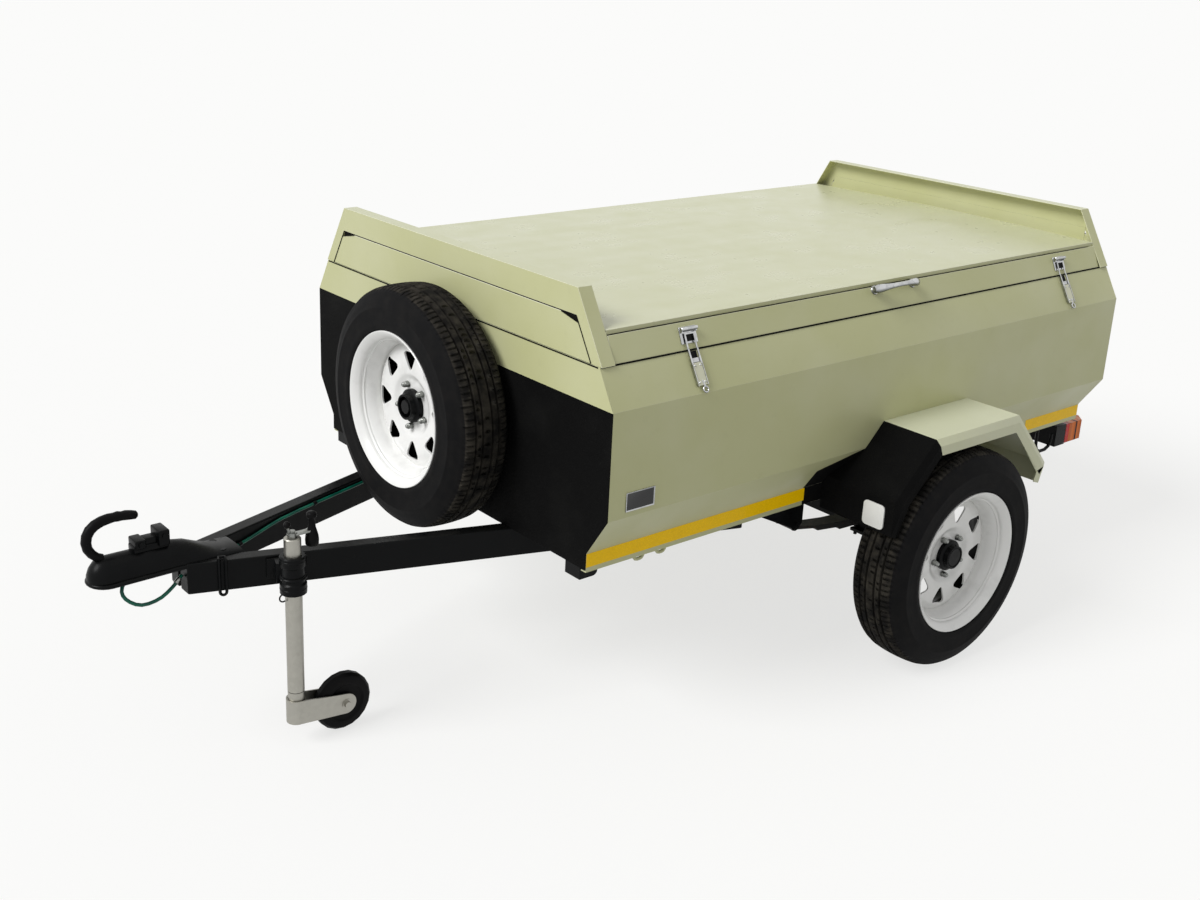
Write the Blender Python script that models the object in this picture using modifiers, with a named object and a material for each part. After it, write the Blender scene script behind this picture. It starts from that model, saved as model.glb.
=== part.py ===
# Luggage trailer: one axle, folded steel tub, side-opening lid, A-frame drawbar on a jockey wheel.
# Metres, +Z up, the floor at z = 0. +X points to the rear, so the coupler is at -X.
# -Y is the trailer's left side, with the latches and the handle; the lid hinges at +Y.
# Stations along X are measured from the axle, and one empty carries them all.
import math

import bmesh
import bpy
from mathutils import Matrix, Vector

# Gaps
SEAT = 0.0003
RUNNING_GAP = 0.006
BITE = 0.001

# Wheels and tyres
TYRE_RADIUS = 0.283
TYRE_WIDTH = 0.148
TYRE_FACE_Y = 0.792
RIM_LIP_RADIUS = 0.1825
RIM_BEAD_RADIUS = 0.166
RIM_WELL_RADIUS = 0.146
RIM_WIDTH = 0.142
RIM_SHEET = 0.0035
RIM_LIP_HEIGHT = RIM_WIDTH / 2 + 0.001
RIM_FLANGE = 0.004
RIM_ROLL = 0.0015
RIM_SHOULDER = 0.012
RIM_WELL_FRONT = 0.026
RIM_WELL_REAR = -0.016
DISC_OFFSET = 0.016
DISC_DISH = 0.008
HUB_BORE_RADIUS = 0.029
HUB_PLAY = 0.0015
HUB_CAP_REACH = 0.030
HUB_FLANGE_RADIUS = 0.064
HUB_BARREL_RADIUS = 0.034
WINDOW_COUNT = 8
WINDOW_PHASE = 3.0
WINDOW_RADIUS = 0.106
WINDOW_SIZE = 0.021
WHEEL_STEPS = 24
SPARE_Z = 0.665
SPARE_STAND_OFF = 0.006
CARRIER_PLATE = 0.006
CARRIER_BASE_RADIUS = 0.070
WHEEL_Y = TYRE_FACE_Y - TYRE_WIDTH / 2
AXLE_Z = TYRE_RADIUS

# Tub
TUB_FRONT = -1.015
TUB_REAR = 0.847
WALL = 0.002
RIM_HALF = 0.547
FLANK_HALF = 0.595
SILL_HALF = 0.5315
RIM_Z = 0.887
FLANK_TOP_Z = 0.8025
FLANK_LOW_Z = 0.564
SILL_TOP_Z = 0.470
SILL_LOW_Z = 0.4255
RIM_LIP = 0.025
SILL_LIP = 0.016
WALL_LOW_Z = 0.431
FLOOR_SHEET = 0.003

# Chassis
RAIL_Y = 0.487
RAIL_WIDTH = 0.050
RAIL_HEIGHT = 0.038
FOOT_DROP = 0.030
FOOT_LENGTH = 0.050
FOOT_ROUND = 0.012
CROSS_WIDTH = 0.050
TUBE_WALL = 0.003

# Drawbar: two tubes under the chassis that meet at the coupler
DRAWBAR_HEIGHT = 0.070
DRAWBAR_WIDTH = 0.036
DRAWBAR_FRONT = -1.688
DRAWBAR_REAR = -0.450
DRAWBAR_FRONT_HALF = 0.042
DRAWBAR_SLOPE = 0.3289

# Lid
LID_EDGE_HALF = 0.517
LID_EDGE_Z = 0.9525
LID_CROWN = 0.007
LID_SHEET = 0.0015
LID_BEAD = 0.010
LID_LIP = 0.015
FRAME_DEPTH = 0.0363
FRAME_TOP_HALF = 0.466
FRAME_LOW_HALF = 0.553
FRAME_TOP_Z = 1.0357
FRAME_BORDER = 0.058
FRAME_SHEET = 0.002
HINGE_RADIUS = 0.0065
HINGE_PIN_RADIUS = 0.003
HINGE_LEAF = 0.0015
HINGE_LEAF_WIDTH = 0.026
HINGE_TAB = 0.011
HINGE_KNUCKLE = 0.040
LEAF_GAP = 0.0006
HINGE_STATIONS = (-0.62, 0.46)

# Mudguards
GUARD_OUTER_Y = 0.763
GUARD_TOP_Z = 0.623
GUARD_SHEET = 0.0016
GUARD_FRONT_X = -0.270
GUARD_CORNERS = ((GUARD_FRONT_X, 0.405), (GUARD_FRONT_X, 0.492), (-0.139, GUARD_TOP_Z),
                 (0.1916, GUARD_TOP_Z), (0.341, 0.466), (0.324, 0.414))
GUARD_CHAMFER = 0.016
GUARD_LIP = 0.024
GUARD_LIP_TAPER = 0.17

# Axle and springs
AXLE_SIZE = 0.040
AXLE_HALF = 0.598
SPINDLE_RADIUS = 0.0137
SPINDLE_LENGTH = 0.040
SPRING_EYE_X = 0.331
SPRING_EYE_Z = 0.367
SPRING_WIDTH = 0.045
LEAF = 0.007
LEAF_HALF_LENGTHS = (0.331, 0.250, 0.165)
EYE_RADIUS = 0.017
LEAF_TAPER = 0.010
BOLT_RADIUS = 0.007
BOLT_HEAD = 0.006
HANGER_PLATE = 0.004
HANGER_PLAY = 0.0015
HANGER_BACK = 0.022
HANGER_REACH = 0.135
HANGER_ROUND = 0.018
HANGER_EDGE = 0.012
U_BOLT_RADIUS = 0.005
CLAMP_PLATE = 0.008
CLAMP_EDGE = 0.010
CLAMP_HALF = AXLE_SIZE / 2 + U_BOLT_RADIUS + BITE + CLAMP_EDGE

# Coupler and what hangs on the drawbar's nose
NOSE_X = -1.884
COUPLER_REAR_X = -1.560
COUPLER_LOW_Z = 0.417
COUPLER_TOP_Z = 0.485
CHANNEL_TOP_Z = 0.464
COUPLER_WALL = 0.004
NOSE_RADIUS = 0.036
BALL_RADIUS = 0.0255
LEVER_RADIUS = 0.0095
CABLE_RADIUS = 0.004
HOOK_X = -1.620
HOOK_WIRE = 0.0035
HOOK_HALF = 0.007
HOOK_LAP = 0.011

# Jockey wheel
JOCKEY_X = -1.505
JOCKEY_STAND_OFF = 0.057
JOCKEY_TUBE_RADIUS = 0.0185
JOCKEY_TUBE_TOP_Z = 0.492
JOCKEY_TUBE_LOW_Z = 0.131
CLAMP_TOP_Z = 0.452
CLAMP_LOW_Z = 0.366
CLAMP_RADIUS = 0.029
JOCKEY_WHEEL_RADIUS = 0.0685
JOCKEY_WHEEL_WIDTH = 0.034
JOCKEY_TRAIL = 0.112

# Tail lamps
TAIL_REACH = 0.925
LAMP_LOW_Z = 0.350
LAMP_HEIGHT = 0.062
LAMP_LENS_X = 0.815
LAMP_INNER_Y = 0.405
LAMP_OUTER_Y = 0.524
BEAM_SIZE = 0.040
BEAM_X = 0.785

# The trailer's origin is at the middle of its length, so the axle stands behind it.
AXLE_X = (-NOSE_X - TAIL_REACH) / 2

KHAKI = ("khaki enamel", (0.50, 0.52, 0.36), 0.35, 0.0)
BLACK = ("satin black paint", (0.012, 0.013, 0.014), 0.45, 0.0)
STONE_GUARD = ("stone guard", (0.01, 0.01, 0.01), 0.85, 0.0)
WHITE = ("white rim enamel", (0.85, 0.85, 0.84), 0.3, 0.0)
RUBBER = ("black rubber", (0.02, 0.02, 0.022), 0.8, 0.0)
ZINC = ("zinc plated steel", (0.55, 0.55, 0.54), 0.35, 1.0)
CHROME = ("chromed steel", (0.75, 0.75, 0.76), 0.12, 1.0)
GALVANISED = ("galvanised steel", (0.45, 0.46, 0.47), 0.5, 1.0)
SPRING_STEEL = ("painted spring steel", (0.03, 0.03, 0.032), 0.55, 0.4)
CABLE_GREEN = ("green plastic sheath", (0.0, 0.09, 0.07), 0.35, 0.0)
LENS = ("lamp lens", (0.75, 0.08, 0.02), 0.2, 0.0)

LEFT = -1
RIGHT = 1
FRONT = -1
REAR = 1
SIDES = (("left", LEFT), ("right", RIGHT))


def clear_scene():
    """Empties the scene."""
    for obj in list(bpy.data.objects):
        bpy.data.objects.remove(obj, do_unlink=True)


def make_collection(name):
    """A collection in the scene."""
    collection = bpy.data.collections.new(name)
    bpy.context.scene.collection.children.link(collection)
    return collection


def material(finish):
    """The Principled material of a finish."""
    name, colour, roughness, metallic = finish
    found = bpy.data.materials.get(name)
    if found:
        return found
    made = bpy.data.materials.new(name)
    made.use_nodes = True
    shader = made.node_tree.nodes["Principled BSDF"]
    shader.inputs["Base Color"].default_value = (*colour, 1.0)
    shader.inputs["Roughness"].default_value = roughness
    shader.inputs["Metallic"].default_value = metallic
    made.diffuse_color = (*colour, 1.0)
    return made


def add(name, data, finish=None, frame=Matrix()):
    """Puts a mesh or curve in the parts' collection, or among the cutters when it has no finish."""
    obj = bpy.data.objects.new(name, data)
    if finish:
        PARTS.objects.link(obj)
        data.materials.append(material(finish))
    else:
        CUTTERS.objects.link(obj)
        obj.hide_render = True
        obj.display_type = "WIRE"
    obj.matrix_world = frame
    return obj


# Frames for flat outlines: the outline's plane and the axis that it is pulled along
ALONG_X = Matrix(((0, 0, 1, 0), (1, 0, 0, 0), (0, 1, 0, 0), (0, 0, 0, 1)))
ALONG_Y = Matrix(((1, 0, 0, 0), (0, 0, -1, 0), (0, 1, 0, 0), (0, 0, 0, 1)))
ALONG_Z = Matrix()
AXIS_OF = {"X": (ALONG_X, Vector((1, 0, 0))), "Y": (ALONG_Y, Vector((0, 1, 0))),
           "Z": (ALONG_Z, Vector((0, 0, 1)))}


def mesh_from_curve(curve):
    """A closed mesh of a filled curve, with its caps welded."""
    holder = bpy.data.objects.new("curve holder", curve)
    CUTTERS.objects.link(holder)
    depsgraph = bpy.context.evaluated_depsgraph_get()
    mesh = bpy.data.meshes.new_from_object(holder.evaluated_get(depsgraph))
    bpy.data.objects.remove(holder, do_unlink=True)
    work = bmesh.new()
    work.from_mesh(mesh)
    bmesh.ops.remove_doubles(work, verts=work.verts, dist=0.00001)
    bmesh.ops.recalc_face_normals(work, faces=work.faces)
    work.to_mesh(mesh)
    work.free()
    return mesh


def plate(name, outlines, axis, low, high, finish=None):
    """A flat outline, with holes if more than one is given, pulled along an axis from low to high.

    Points are (y, z) along X, (x, z) along Y and (x, y) along Z.
    """
    curve = bpy.data.curves.new(name, "CURVE")
    curve.dimensions = "2D"
    curve.fill_mode = "BOTH"
    curve.extrude = (high - low) / 2
    for outline in outlines:
        spline = curve.splines.new("POLY")
        spline.points.add(len(outline) - 1)
        for point, (u, v) in zip(spline.points, outline):
            point.co = (u, v, 0, 1)
        spline.use_cyclic_u = True
    turn, direction = AXIS_OF[axis]
    mesh = mesh_from_curve(curve)
    mesh.transform(Matrix.Translation(direction * (low + high) / 2) @ turn)
    mesh.name = name
    return add(name, mesh, finish)


def box(name, x_range, y_range, z_range, finish=None, bevel=0.0):
    """A box between two corners, with rounded edges where a bevel is given."""
    work = bmesh.new()
    bmesh.ops.create_cube(work, size=1.0)
    ranges = (x_range, y_range, z_range)
    size = [max(r) - min(r) for r in ranges]
    centre = [sum(r) / 2 for r in ranges]
    bmesh.ops.scale(work, vec=size, verts=work.verts)
    bmesh.ops.translate(work, vec=centre, verts=work.verts)
    mesh = bpy.data.meshes.new(name)
    work.to_mesh(mesh)
    work.free()
    obj = add(name, mesh, finish)
    if bevel:
        modifier = obj.modifiers.new("Bevel", "BEVEL")
        modifier.width = bevel
        modifier.segments = 2
    return obj


def rod(name, start, end, radius, finish=None, steps=16, end_radius=None):
    """A straight round bar, or a taper, between two points."""
    start = Vector(start)
    end = Vector(end)
    span = end - start
    work = bmesh.new()
    bmesh.ops.create_cone(work, cap_ends=True, segments=steps, radius1=radius,
                          radius2=radius if end_radius is None else end_radius, depth=span.length)
    mesh = bpy.data.meshes.new(name)
    work.to_mesh(mesh)
    work.free()
    turn = span.to_track_quat("Z", "Y").to_matrix().to_4x4()
    mesh.transform(Matrix.Translation((start + end) / 2) @ turn)
    return add(name, mesh, finish)


def wire(name, points, radius, finish=None, closed=False, resolution=2):
    """A bent round bar through the points."""
    curve = bpy.data.curves.new(name, "CURVE")
    curve.dimensions = "3D"
    curve.bevel_depth = radius
    curve.bevel_resolution = resolution
    curve.use_fill_caps = not closed
    spline = curve.splines.new("POLY")
    spline.points.add(len(points) - 1)
    for point, place in zip(spline.points, points):
        point.co = (*place, 1)
    spline.use_cyclic_u = closed
    if finish and not closed:
        return add(name, curve, finish)
    mesh = mesh_from_curve(curve)
    return add(name, mesh, finish)


def offset_path(path, distance):
    """The path moved to its left by a distance, with mitred corners."""
    moved = []
    for index, point in enumerate(path):
        before = Vector(path[max(index - 1, 0)])
        here = Vector(point)
        after = Vector(path[min(index + 1, len(path) - 1)])
        along_in = (here - before) if index else (after - here)
        along_out = (after - here) if index < len(path) - 1 else (here - before)
        left_in = Vector((-along_in.y, along_in.x)).normalized()
        left_out = Vector((-along_out.y, along_out.x)).normalized()
        mitre = (left_in + left_out).normalized()
        moved.append(tuple(here + mitre * distance / mitre.dot(left_out)))
    return moved


def folded_sheet(name, path, axis, low, high, thickness, finish=None):
    """Sheet metal folded along a path and pulled along an axis.

    The path is the sheet's outer face; a positive thickness lies to the left of its direction.
    """
    inner_face = offset_path(path, thickness)
    return plate(name, [list(path) + inner_face[::-1]], axis, low, high, finish)


def turned(name, profile, frame, finish=None, steps=WHEEL_STEPS):
    """A (radius, height) profile turned about the frame's Z.

    It is listed clockwise: a ring's profile closes on itself, and a solid's starts and ends on the axis.
    """
    work = bmesh.new()
    corners = [work.verts.new((radius, 0, height)) for radius, height in profile]
    for pair in zip(corners, corners[1:]):
        work.edges.new(pair)
    if profile[0][0] > 0:
        work.edges.new((corners[-1], corners[0]))
    mesh = bpy.data.meshes.new(name)
    work.to_mesh(mesh)
    work.free()
    obj = add(name, mesh, finish, frame)
    modifier = obj.modifiers.new("Screw", "SCREW")
    modifier.axis = "Z"
    modifier.steps = steps
    modifier.render_steps = steps
    modifier.use_merge_vertices = True
    modifier.merge_threshold = 0.00001
    return obj


def combine(target, tool, operation):
    """Adds an EXACT Boolean of the tool to the target."""
    modifier = target.modifiers.new(operation.title(), "BOOLEAN")
    modifier.operation = operation
    modifier.solver = "EXACT"
    modifier.object = tool


def weld(target, *tools):
    """Joins the tools to the target as one piece."""
    for tool in tools:
        combine(target, tool, "UNION")
    return target


def cut(target, *tools):
    """Takes the tools out of the target."""
    for tool in tools:
        combine(target, tool, "DIFFERENCE")
    return target


def arc(centre, radius, start, end, count):
    """Points on an arc, angles in degrees, both ends included."""
    step = (end - start) / (count - 1)
    angles = [math.radians(start + step * index) for index in range(count)]
    return [(centre[0] + radius * math.cos(a), centre[1] + radius * math.sin(a)) for a in angles]


def smooth_route(points, count):
    """Points on one smooth curve through the route's points."""
    padded = [points[0]] + list(points) + [points[-1]]
    spans = len(points) - 1
    route = []
    for index in range(count):
        place = min(index * spans / (count - 1), spans - 1e-9)
        span = int(place)
        t = place - span
        a, b, c, d = (Vector(p) for p in padded[span:span + 4])
        route.append(0.5 * (2 * b + (c - a) * t + (2 * a - 5 * b + 4 * c - d) * t ** 2
                            + (3 * b - a - 3 * c + d) * t ** 3))
    return route


def drawbar_outer(x):
    """Half the drawbar's outer spread at a station."""
    return DRAWBAR_FRONT_HALF + DRAWBAR_SLOPE * (x - DRAWBAR_FRONT)


DRAWBAR_ANGLE = math.atan(DRAWBAR_SLOPE)
DRAWBAR_TOP_Z = WALL_LOW_Z - SEAT
DRAWBAR_LOW_Z = DRAWBAR_TOP_Z - DRAWBAR_HEIGHT
RAIL_TOP_Z = WALL_LOW_Z + RAIL_HEIGHT
FLOOR_LOW_Z = RAIL_TOP_Z + SEAT
INSIDE_FRONT = TUB_FRONT + WALL + SEAT
INSIDE_REAR = TUB_REAR - WALL - SEAT
LID_BASE_Z = RIM_Z + SEAT
FRAME_STATIONS = (("front", TUB_FRONT + 0.0016, 1), ("rear", TUB_REAR - 0.0022, -1))
LID_FRONT = TUB_FRONT + 0.0016 + FRAME_DEPTH + SEAT
LID_REAR = TUB_REAR - 0.0022 - FRAME_DEPTH - SEAT
FLANK_SLOPE = (FLANK_HALF - RIM_HALF) / (RIM_Z - FLANK_TOP_Z)
SKIRT_SLOPE = (RIM_HALF - LID_EDGE_HALF) / (LID_EDGE_Z - RIM_Z)


def flank_half(z):
    """Half the tub's outer width at a height."""
    table = ((SILL_LOW_Z, SILL_HALF), (SILL_TOP_Z, SILL_HALF), (FLANK_LOW_Z, FLANK_HALF),
             (FLANK_TOP_Z, FLANK_HALF), (RIM_Z, RIM_HALF))
    if z <= table[0][0]:
        return SILL_HALF
    for (z0, half0), (z1, half1) in zip(table, table[1:]):
        if z <= z1:
            return half0 + (half1 - half0) * (z - z0) / (z1 - z0)
    return RIM_HALF


def build_tub():
    """The tub's side sheets, end walls and floor."""
    for side_name, side in SIDES:
        path = [(side * (RIM_HALF - RIM_LIP), RIM_Z), (side * RIM_HALF, RIM_Z),
                (side * FLANK_HALF, FLANK_TOP_Z), (side * FLANK_HALF, FLANK_LOW_Z),
                (side * SILL_HALF, SILL_TOP_Z), (side * SILL_HALF, SILL_LOW_Z),
                (side * (SILL_HALF - SILL_LIP), SILL_LOW_Z)]
        folded_sheet(f"tub_side_{side_name}", path, "X", INSIDE_FRONT, INSIDE_REAR,
                     -side * WALL, KHAKI)
    section = [(-SILL_HALF, WALL_LOW_Z), (SILL_HALF, WALL_LOW_Z), (SILL_HALF, SILL_TOP_Z),
               (FLANK_HALF, FLANK_LOW_Z), (FLANK_HALF, FLANK_TOP_Z), (RIM_HALF, RIM_Z),
               (-RIM_HALF, RIM_Z), (-FLANK_HALF, FLANK_TOP_Z), (-FLANK_HALF, FLANK_LOW_Z),
               (-SILL_HALF, SILL_TOP_Z)]
    plate("tub_front_wall", [section], "X", TUB_FRONT, TUB_FRONT + WALL, STONE_GUARD)
    plate("tub_rear_wall", [section], "X", TUB_REAR - WALL, TUB_REAR, KHAKI)
    floor_half = SILL_HALF - WALL - SEAT
    box("tub_floor", (INSIDE_FRONT, INSIDE_REAR), (-floor_half, floor_half),
        (FLOOR_LOW_Z, FLOOR_LOW_Z + FLOOR_SHEET), KHAKI)


def build_chassis():
    """Two main rails with a front foot and spring hangers, and three cross members between them."""
    foot_z = WALL_LOW_Z - FOOT_DROP
    low = WALL_LOW_Z + SEAT
    front_foot = [(INSIDE_FRONT, foot_z)]
    front_foot += arc((INSIDE_FRONT + FOOT_LENGTH - FOOT_ROUND, foot_z + FOOT_ROUND), FOOT_ROUND, -90, 0, 4)
    front_foot.append((INSIDE_FRONT + FOOT_LENGTH, low))
    profile = front_foot + [(INSIDE_REAR, low), (INSIDE_REAR, RAIL_TOP_Z), (INSIDE_FRONT, RAIL_TOP_Z)]
    for name, side in SIDES:
        inner = side * RAIL_Y - RAIL_WIDTH / 2
        rail = plate(f"chassis_rail_{name}", [profile], "Y", inner, inner + RAIL_WIDTH, BLACK)
        for end in (FRONT, REAR):
            weld(rail, *spring_hanger(name, side * RAIL_Y, end))
    reach = RAIL_Y - RAIL_WIDTH / 2 - SEAT
    for name, station in (("front", INSIDE_FRONT + CROSS_WIDTH / 2), ("middle", DRAWBAR_REAR + CROSS_WIDTH / 2),
                          ("rear", BEAM_X)):
        plate(f"cross_member_{name}", box_section(station, CROSS_WIDTH, low, RAIL_TOP_Z), "Y", -reach, reach, BLACK)


def box_section(station, width, low, high):
    """The outer and inner outline of a square tube that lies across the trailer."""
    return [[(station - half, low + inset), (station + half, low + inset),
             (station + half, high - inset), (station - half, high - inset)]
            for half, inset in ((width / 2, 0.0), (width / 2 - TUBE_WALL, TUBE_WALL))]


def spring_hanger(name, centre, end):
    """The folded bracket below the rail that holds one spring eye on its bolt."""
    x = end * SPRING_EYE_X
    inner_x = x - end * HANGER_BACK
    outer_x = x + end * HANGER_REACH
    cheek_top = WALL_LOW_Z - SEAT
    outline = [(inner_x, cheek_top), (inner_x, SPRING_EYE_Z)]
    outline += [(x + end * u, SPRING_EYE_Z + v) for u, v in arc((0, 0), HANGER_ROUND, 200, 340, 5)]
    outline += [(outer_x, WALL_LOW_Z - HANGER_EDGE), (outer_x, cheek_top)]
    inner = SPRING_WIDTH / 2 + HANGER_PLAY
    outer = inner + HANGER_PLATE
    cheeks = [plate(f"hanger cheek {name} {end} {low}", [outline], "Y", centre + low, centre + low + HANGER_PLATE)
              for low in (-outer, inner)]
    web_half = inner + BITE / 2
    web = box(f"hanger web {name} {end}", (inner_x, outer_x), (centre - web_half, centre + web_half),
              (cheek_top - HANGER_PLATE, WALL_LOW_Z + SEAT + BITE))
    bolt_half = outer + BOLT_HEAD
    bolt = rod(f"hanger bolt {name} {end}", (x, centre - bolt_half, SPRING_EYE_Z),
               (x, centre + bolt_half, SPRING_EYE_Z), BOLT_RADIUS, steps=8)
    return [web, *cheeks, bolt]


def build_drawbar():
    """Two rectangular tubes that run forward under the chassis and nearly meet at the nose."""
    across = DRAWBAR_WIDTH / math.cos(DRAWBAR_ANGLE)
    front = drawbar_outer(DRAWBAR_FRONT)
    rear = drawbar_outer(DRAWBAR_REAR)
    for name, side in SIDES:
        outline = [(DRAWBAR_FRONT, side * front), (DRAWBAR_REAR, side * rear),
                   (DRAWBAR_REAR, side * (rear - across)), (DRAWBAR_FRONT, side * max(front - across, SEAT))]
        plate(f"drawbar_{name}", [outline], "Z", DRAWBAR_LOW_Z, DRAWBAR_TOP_Z, BLACK)


def build_coupler():
    """The pressed coupler with its ball socket, its curled lever and the release sleeve."""
    waist = 0.031
    tail = 0.046
    centre_x = NOSE_X + NOSE_RADIUS
    nose = arc((centre_x, 0), NOSE_RADIUS, 90, 270, 13)
    plan = nose + [(centre_x + 0.045, -waist), (-1.700, -waist), (-1.640, -tail),
                   (COUPLER_REAR_X, -tail), (COUPLER_REAR_X, tail), (-1.640, tail),
                   (-1.700, waist), (centre_x + 0.045, waist)]
    seat_z = DRAWBAR_TOP_Z + SEAT
    crown = arc((centre_x, COUPLER_TOP_Z - 0.040), 0.040, 155, 60, 7)
    lip_end = DRAWBAR_FRONT - SEAT
    profile = ([(NOSE_X, COUPLER_LOW_Z)] + crown
               + [(-1.780, CHANNEL_TOP_Z), (-1.700, CHANNEL_TOP_Z), (COUPLER_REAR_X, CHANNEL_TOP_Z - 0.006),
                  (COUPLER_REAR_X, seat_z), (lip_end, seat_z), (lip_end, COUPLER_LOW_Z)])
    body = plate("coupler_body", [plan], "Z", COUPLER_LOW_Z, COUPLER_TOP_Z, BLACK)
    side_view = plate("coupler side view", [profile[::-1]], "Y", -0.06, 0.06)
    combine(body, side_view, "INTERSECT")
    socket = rod("coupler socket", (centre_x, 0, COUPLER_LOW_Z - 0.01),
                 (centre_x, 0, COUPLER_TOP_Z - COUPLER_WALL - 0.004), BALL_RADIUS, steps=24)
    inner = waist - COUPLER_WALL
    channel = box("coupler channel", (centre_x, COUPLER_REAR_X + 0.01), (-inner, inner),
                  (COUPLER_LOW_Z - 0.01, CHANNEL_TOP_Z - COUPLER_WALL - 0.006))
    cut(body, socket, channel)

    lever_foot = Vector((centre_x - 0.001, 0, COUPLER_TOP_Z + SEAT))
    lever_shape = [lever_foot + Vector((0, 0, 0.008)), Vector((-1.8645, 0, 0.507)), Vector((-1.868, 0, 0.521)),
                   Vector((-1.862, 0, 0.539)), Vector((-1.845, 0, 0.5505)), Vector((-1.815, 0, 0.5535)),
                   Vector((-1.7715, 0, 0.549))]
    wire("coupler_lever", [lever_foot] + smooth_route(lever_shape, 13), LEVER_RADIUS, BLACK, resolution=3)

    sleeve_z = CHANNEL_TOP_Z + SEAT + 0.024
    frame = Matrix.Translation((-1.788, 0, sleeve_z)) @ Matrix.Rotation(math.radians(90), 4, "Y")
    sleeve = [(0.016, 0.0), (0.018, 0.004), (0.018, 0.066), (0.0235, 0.067), (0.0235, 0.077),
              (0.006, 0.077), (0.006, 0.0)]
    turned("coupler_release", list(reversed(sleeve)), frame, BLACK, steps=16)


def build_safety_gear():
    """The green safety cable's loop below the coupler, its run along the drawbar, and the hook."""
    loop_points = [(DRAWBAR_FRONT - SEAT - CABLE_RADIUS * 0.7, -0.020, 0.400), (-1.715, -0.030, 0.384),
                   (-1.750, -0.038, 0.368), (-1.790, -0.040, 0.366), (-1.818, -0.034, 0.384),
                   (-1.822, -0.024, 0.404), (-1.800, -0.012, 0.424), (-1.768, -0.006, 0.436)]
    wire("safety_cable_loop", smooth_route(loop_points, 20), CABLE_RADIUS, CABLE_GREEN)
    outward = Vector((-math.sin(DRAWBAR_ANGLE), -math.cos(DRAWBAR_ANGLE), 0))
    along = Vector((math.cos(DRAWBAR_ANGLE), -math.sin(DRAWBAR_ANGLE), 0))
    face = Vector((HOOK_X, -drawbar_outer(HOOK_X), 0))
    clear = HOOK_WIRE + SEAT * 2
    near = clear * 0.35
    strand = [(-HOOK_LAP, DRAWBAR_TOP_Z + clear), (near, DRAWBAR_TOP_Z + clear), (clear, DRAWBAR_TOP_Z + near),
              (clear, DRAWBAR_LOW_Z)]
    bend = arc((0, DRAWBAR_LOW_Z), HOOK_HALF, -30, -150, 5)
    points = [face + outward * u + along * HOOK_HALF + Vector((0, 0, z)) for u, z in strand]
    points += [face + outward * clear + along * s + Vector((0, 0, z)) for s, z in bend]
    points += [face + outward * u - along * HOOK_HALF + Vector((0, 0, z)) for u, z in reversed(strand)]
    wire("safety_hook", points, HOOK_WIRE, BLACK, closed=True, resolution=1)


def upright_wheel(centre, heading):
    """A wheel's frame: Z points outwards from its middle plane, level, heading degrees round from +Y."""
    outwards = Matrix.Rotation(math.radians(-90), 4, "X")
    return Matrix.Translation(centre) @ Matrix.Rotation(math.radians(heading), 4, "Z") @ outwards


def wheel_frame(side):
    """The frame of a road wheel."""
    return upright_wheel((0, side * WHEEL_Y, AXLE_Z), 180 if side == LEFT else 0)


def rim_profile():
    """The rim's section: a stepped barrel with a dished disc, listed clockwise."""
    sheet = RIM_SHEET
    outer = [(RIM_LIP_RADIUS - RIM_ROLL, RIM_LIP_HEIGHT), (RIM_LIP_RADIUS, RIM_LIP_HEIGHT - RIM_FLANGE),
             (RIM_BEAD_RADIUS, RIM_LIP_HEIGHT - RIM_SHOULDER), (RIM_WELL_RADIUS + sheet, RIM_WELL_FRONT),
             (RIM_WELL_RADIUS + sheet, RIM_WELL_REAR), (RIM_BEAD_RADIUS, RIM_SHOULDER - RIM_LIP_HEIGHT),
             (RIM_LIP_RADIUS, RIM_FLANGE - RIM_LIP_HEIGHT), (RIM_LIP_RADIUS - RIM_ROLL, -RIM_LIP_HEIGHT)]
    inner_edge = RIM_LIP_HEIGHT - RIM_SHOULDER - sheet
    inner_back = [(RIM_BEAD_RADIUS - sheet, -inner_edge), (RIM_WELL_RADIUS, RIM_WELL_REAR)]
    seat = DISC_OFFSET - DISC_DISH
    disc = [(RIM_WELL_RADIUS, DISC_OFFSET - 0.014), (0.080, DISC_OFFSET - sheet), (0.064, seat - sheet),
            (HUB_BORE_RADIUS, seat - sheet), (HUB_BORE_RADIUS, seat), (0.062, seat), (0.078, DISC_OFFSET),
            (RIM_WELL_RADIUS, DISC_OFFSET - 0.009)]
    inner_front = [(RIM_WELL_RADIUS, RIM_WELL_FRONT), (RIM_BEAD_RADIUS - sheet, inner_edge)]
    return outer + inner_back + disc + inner_front


def window_cutter(name, frame):
    """Eight rounded triangles, pointing outwards and inwards in turn."""
    curve = bpy.data.curves.new(name, "CURVE")
    curve.dimensions = "2D"
    curve.fill_mode = "BOTH"
    curve.extrude = 0.03
    corner_radius = 0.005
    for index in range(WINDOW_COUNT):
        heading = WINDOW_PHASE + 360.0 * index / WINDOW_COUNT
        flip = 0 if index % 2 else 180
        centre = (WINDOW_RADIUS * math.cos(math.radians(heading)),
                  WINDOW_RADIUS * math.sin(math.radians(heading)))
        outline = []
        for corner in range(3):
            towards = heading + flip + 120 * corner
            middle = (centre[0] + (WINDOW_SIZE - corner_radius) * math.cos(math.radians(towards)),
                      centre[1] + (WINDOW_SIZE - corner_radius) * math.sin(math.radians(towards)))
            outline += arc(middle, corner_radius, towards - 45, towards + 45, 2)
        spline = curve.splines.new("POLY")
        spline.points.add(len(outline) - 1)
        for point, (u, v) in zip(spline.points, outline):
            point.co = (u, v, 0, 1)
        spline.use_cyclic_u = True
    mesh = mesh_from_curve(curve)
    return add(name, mesh, None, frame)


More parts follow.
